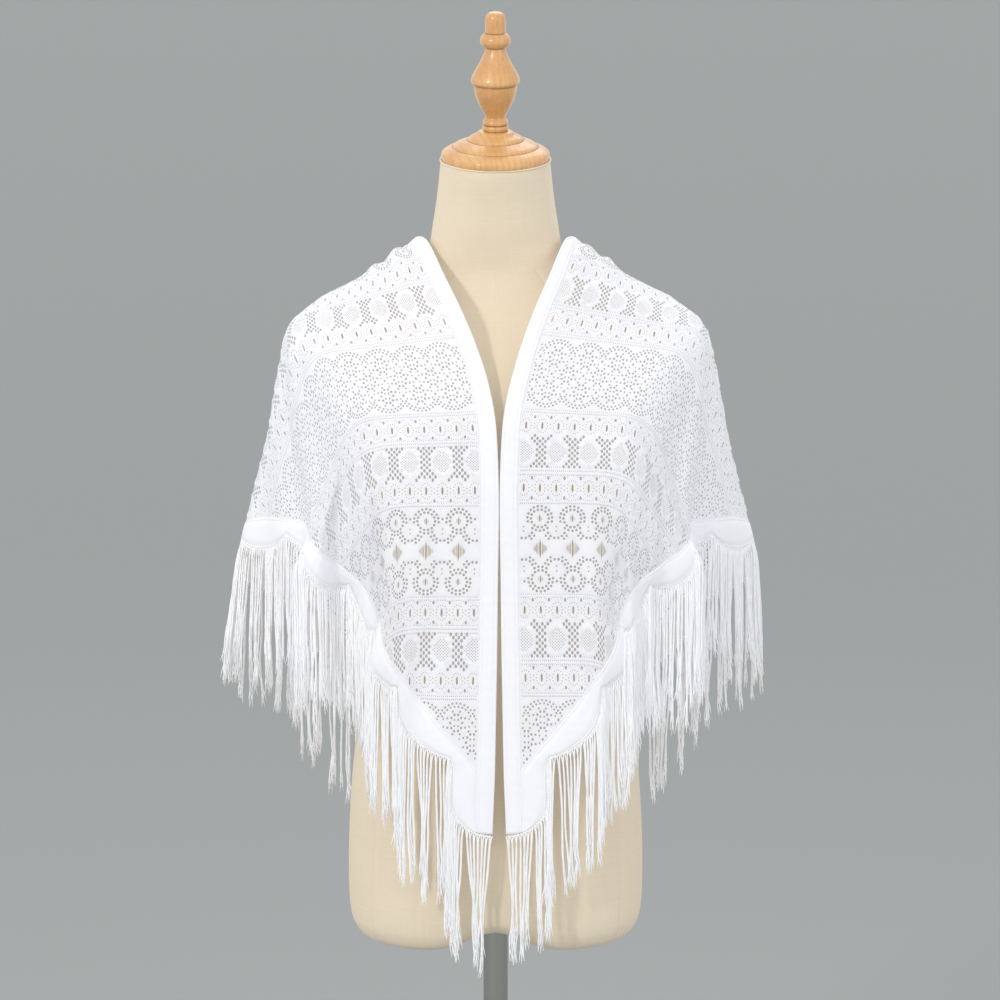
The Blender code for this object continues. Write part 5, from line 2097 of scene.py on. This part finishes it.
@dataclass
class TurnedWood:
    """A turned wooden piece on the form's tilted neck axis."""

    name: str
    node: str
    profile: tuple[Turn, ...]
    foot: Array
    tilt: float
    segments: int = 72
    steps: int = 5
    squeeze: float = 1.0
    # Half width of the painted shade line in a groove.
    shaded_groove_half: float = 0.0009

    def outline(self) -> tuple[Array, Array]:
        """Smooth profile with its sharp places kept.

        Returns:
            Radius and height of each point, and how much painted shade it takes from a groove.
        """
        rows = np.array([(t.radius, t.height * self.squeeze) for t in self.profile])
        cuts = [0] + [i for i, t in enumerate(self.profile) if t.sharp] + [len(rows) - 1]
        points = [rows[:1]]
        for a, b in zip(cuts, cuts[1:]):
            if b <= a:
                continue
            where = np.linspace(a, b, (b - a) * self.steps + 1)[1:]
            if b - a == 1:
                points.append(rows[a] + (rows[b] - rows[a]) * (where - a)[:, None])
            else:
                points.append(through_rows(np.arange(a, b + 1.0), rows[a:b + 1], where))
        points = np.concatenate(points)
        depth = np.zeros(len(points))
        for row, turn in zip(rows, self.profile):
            if turn.shaded_groove:
                gap = np.hypot(*(points - row).T)
                depth = np.maximum(depth, np.exp(-(gap / self.shaded_groove_half) ** 2))
        return points, depth

    def build(self, material: Material) -> Object:
        """Turn the profile round the neck's axis.

        Args:
            material: The wood.

        Returns:
            The finished piece.
        """
        points, depth = self.outline()
        place, faces = revolved(points, self.segments)
        x, y, z = place.T
        lean, rise = math.sin(self.tilt), math.cos(self.tilt)
        place = np.stack([x, y * rise - z * lean, y * lean + z * rise], -1) + self.foot
        piece = add_piece(self.name, place, faces, material)
        close_ends(piece)
        # Layout of the painted shade in the grooves.
        add_mask(piece, "shaded_groove", np.repeat(depth, self.segments))
        piece.data.set_sharp_from_angle(angle=math.radians(50))
        return tie(piece, self.node)


@dataclass
class Stand:
    """Steel pole and round base."""

    pole_radius: float = 0.0132
    base_radius: float = 0.150
    base_thick: float = 0.008
    collar_top: float = 0.022
    pole_top: float = 0.6495
    segments: int = 96

    def lathe(self, name: str, profile: Sequence[tuple[float, float]],
              material: Material, node: str) -> Object:
        """Turn a profile round the upright axis.

        Args:
            name: The piece's name.
            profile: Rows of radius and height.
            material: The steel.
            node: The solid that the piece replaces.

        Returns:
            The finished piece.
        """
        piece = add_piece(name, *revolved(np.array(profile), self.segments), material)
        close_ends(piece)
        piece.data.set_sharp_from_angle(angle=math.radians(40))
        return tie(piece, node)

    def build(self, pole: Material, plate: Material) -> list[Object]:
        """Make the pole and the base.

        Args:
            pole: Steel of the pole.
            plate: Steel of the base.

        Returns:
            The two pieces.
        """
        r, b, t = self.pole_radius, self.base_radius, self.base_thick
        top = self.collar_top
        base = [(0.0003, 0.0), (b - 0.001, 0.0), (b, 0.001), (b, t * 0.62),
                (b - 0.0008, t * 0.82), (b - 0.003, t * 0.97), (b - 0.006, t),
                (0.06, t + 0.0008), (0.034, t + 0.0014), (0.029, t + 0.0024),
                (0.0275, t + 0.0045), (0.0268, t + 0.0105), (0.0258, t + 0.012),
                (0.0235, t + 0.0128), (0.018, top - 0.0004), (r, top), (0.0003, top)]
        low = top + 0.0003
        tube = [(0.0003, low), (r - 0.0004, low), (r, low + 0.0006)]
        tube += [(r, low + 0.0006 + k * 0.06) for k in range(1, 10)]
        tube += [(r, self.pole_top - 0.0006), (r - 0.0006, self.pole_top),
                 (0.0003, self.pole_top)]
        return [self.lathe("steel_pole", tube, pole, "pole"),
                self.lathe("steel_base", base, plate, "base_plate")]


# ---- the studio
class Lamp(NamedTuple):
    """A soft square light that looks at the shawl."""

    name: str
    place: tuple[float, float, float]
    size: float
    power: float
    colour: tuple[float, float, float]


LAMPS = (
    Lamp("key_left", (-1.9, -2.9, 2.6), 0.32, 38.0, (1.0, 0.985, 0.96)),
    Lamp("fill_right", (2.4, -2.2, 1.6), 1.8, 10.0, (0.97, 0.98, 1.0)),
    Lamp("top_back", (0.2, 1.4, 3.0), 1.4, 10.0, (1.0, 1.0, 1.0)),
)


@dataclass
class Studio:
    """Plain pale paper floor and backdrop, soft lights and the camera."""

    target: tuple[float, float, float] = (0.0047, 0.0, 1.09)
    distance: float = 3.2
    elevation: float = math.radians(8.0)
    view_width: float = 1.05
    sensor: float = 36.0
    air: tuple[float, float, float, float] = (0.97, 0.985, 1.0, 1.0)
    air_strength: float = 0.97
    floor_edge: float = 4.4
    bend: float = 1.8
    wall_top: float = 5.5
    segments: int = 96

    def paper(self) -> None:
        """A round paper floor, and a paper wall all round that only the camera sees."""
        edge, bend = self.floor_edge, self.bend
        floor = [(r, 0.0) for r in np.linspace(0.02, edge, 10)]
        wall = [(edge + bend * math.sin(a), bend - bend * math.cos(a))
                for a in np.linspace(0.0, math.pi / 2, 24)]
        wall += [(edge + bend, z) for z in np.linspace(bend, self.wall_top, 6)[1:]]
        material = WallFinish().material()
        for name, profile in (("studio_floor", floor), ("studio_wall", wall)):
            place, faces = revolved(np.array(profile), self.segments)
            piece = add_piece(name, place, faces[:, ::-1], material)
            if name == "studio_wall":
                piece.visible_diffuse = False
                piece.visible_glossy = False
                piece.visible_shadow = False

    def light(self, lamp: Lamp) -> None:
        """Hang a lamp and turn it to the shawl."""
        data = bpy.data.lights.new(lamp.name, "AREA")
        data.size = lamp.size
        data.energy = lamp.power
        data.color = lamp.colour
        hung = bpy.data.objects.new(lamp.name, data)
        hung.location = lamp.place
        aim = Vector(self.target) - Vector(lamp.place)
        hung.rotation_euler = aim.to_track_quat("-Z", "Y").to_euler()
        bpy.context.collection.objects.link(hung)

    def camera(self) -> None:
        """Place the camera level with the chest, looking slightly down."""
        data = bpy.data.cameras.new("studio_camera")
        data.sensor_width = self.sensor
        data.lens = self.sensor * self.distance / self.view_width
        data.clip_end = 60.0
        seat = bpy.data.objects.new("studio_camera", data)
        target = Vector(self.target)
        seat.location = target + Vector((0.0, -math.cos(self.elevation),
                                         math.sin(self.elevation))) * self.distance
        seat.rotation_euler = (math.pi / 2 - self.elevation, 0.0, 0.0)
        bpy.context.collection.objects.link(seat)
        bpy.context.scene.camera = seat

    def build(self) -> None:
        """Set the lights, the paper and the camera."""
        scene = bpy.context.scene
        scene.view_settings.view_transform = "Standard"
        world = bpy.data.worlds.new("studio_air")
        world.use_nodes = True
        air = world.node_tree.nodes["Background"]
        air.inputs["Color"].default_value = self.air
        air.inputs["Strength"].default_value = self.air_strength
        scene.world = world
        for lamp in LAMPS:
            self.light(lamp)
        self.paper()
        self.camera()


def main() -> None:
    """Build the shawl, the form and the studio."""
    logging.basicConfig(level=logging.INFO, format="%(name)s: %(message)s")
    shop = Workshop()
    # The lace, binding and thread carry a painted glow that lifts their shade.
    lace = ClothFinish("white_raschel_lace", (0.895, 0.89, 0.92), (0.82, 0.82, 0.86),
                       0.0011, 0.0009, 0.00030, sheer=0.16, painted_glow=0.075,
                       painted_glow_inside=0.12).material(shop)
    plain = ClothFinish("white_plain_binding", (0.90, 0.895, 0.93), (0.86, 0.86, 0.90),
                        0.0010, 0.0007, 0.00012, painted_glow=0.06).material(shop)
    thread = ThreadFinish("white_fringe_thread", (0.96, 0.96, 0.96),
                          (0.88, 0.88, 0.89)).material(shop)
    linen = LinenFinish().material(shop)
    wood = WoodFinish().material(shop)
    body = FormBody()
    pieces = [body.build(linen), body.welt(linen)]
    cap_foot, finial_foot = 0.0860, 0.1166
    pieces.append(TurnedWood("wood_neck_cap", "neck_cap", CAP_PROFILE,
                             body.neck_point(cap_foot), body.neck_tilt).build(wood))
    pieces.append(TurnedWood("wood_finial", "finial", FINIAL_PROFILE,
                             body.neck_point(finial_foot), body.neck_tilt,
                             squeeze=0.945).build(wood))
    pieces += Stand().build(
        SteelFinish("polished_pole", (0.52, 0.51, 0.48), 0.12).material(shop),
        SteelFinish("brushed_base", (0.58, 0.58, 0.59), 0.30).material(shop))
    drape = Drape()
    neck = NeckBinding(drape).build(plain)
    pieces.append(neck)
    for side in Side:
        panel = LacePanel(side, drape, LaceChart())
        cloth = panel.build(lace)
        hem = HemBand(drape, side=side).build(plain)
        fringe = Fringe(side, drape).build(thread)
        panel.declare()
        pieces += [cloth, hem, fringe]
    for piece in pieces:
        log.info("%s: %d faces", piece.name, len(piece.data.polygons))
    Studio().build()


if __name__ == "__main__":
    main()
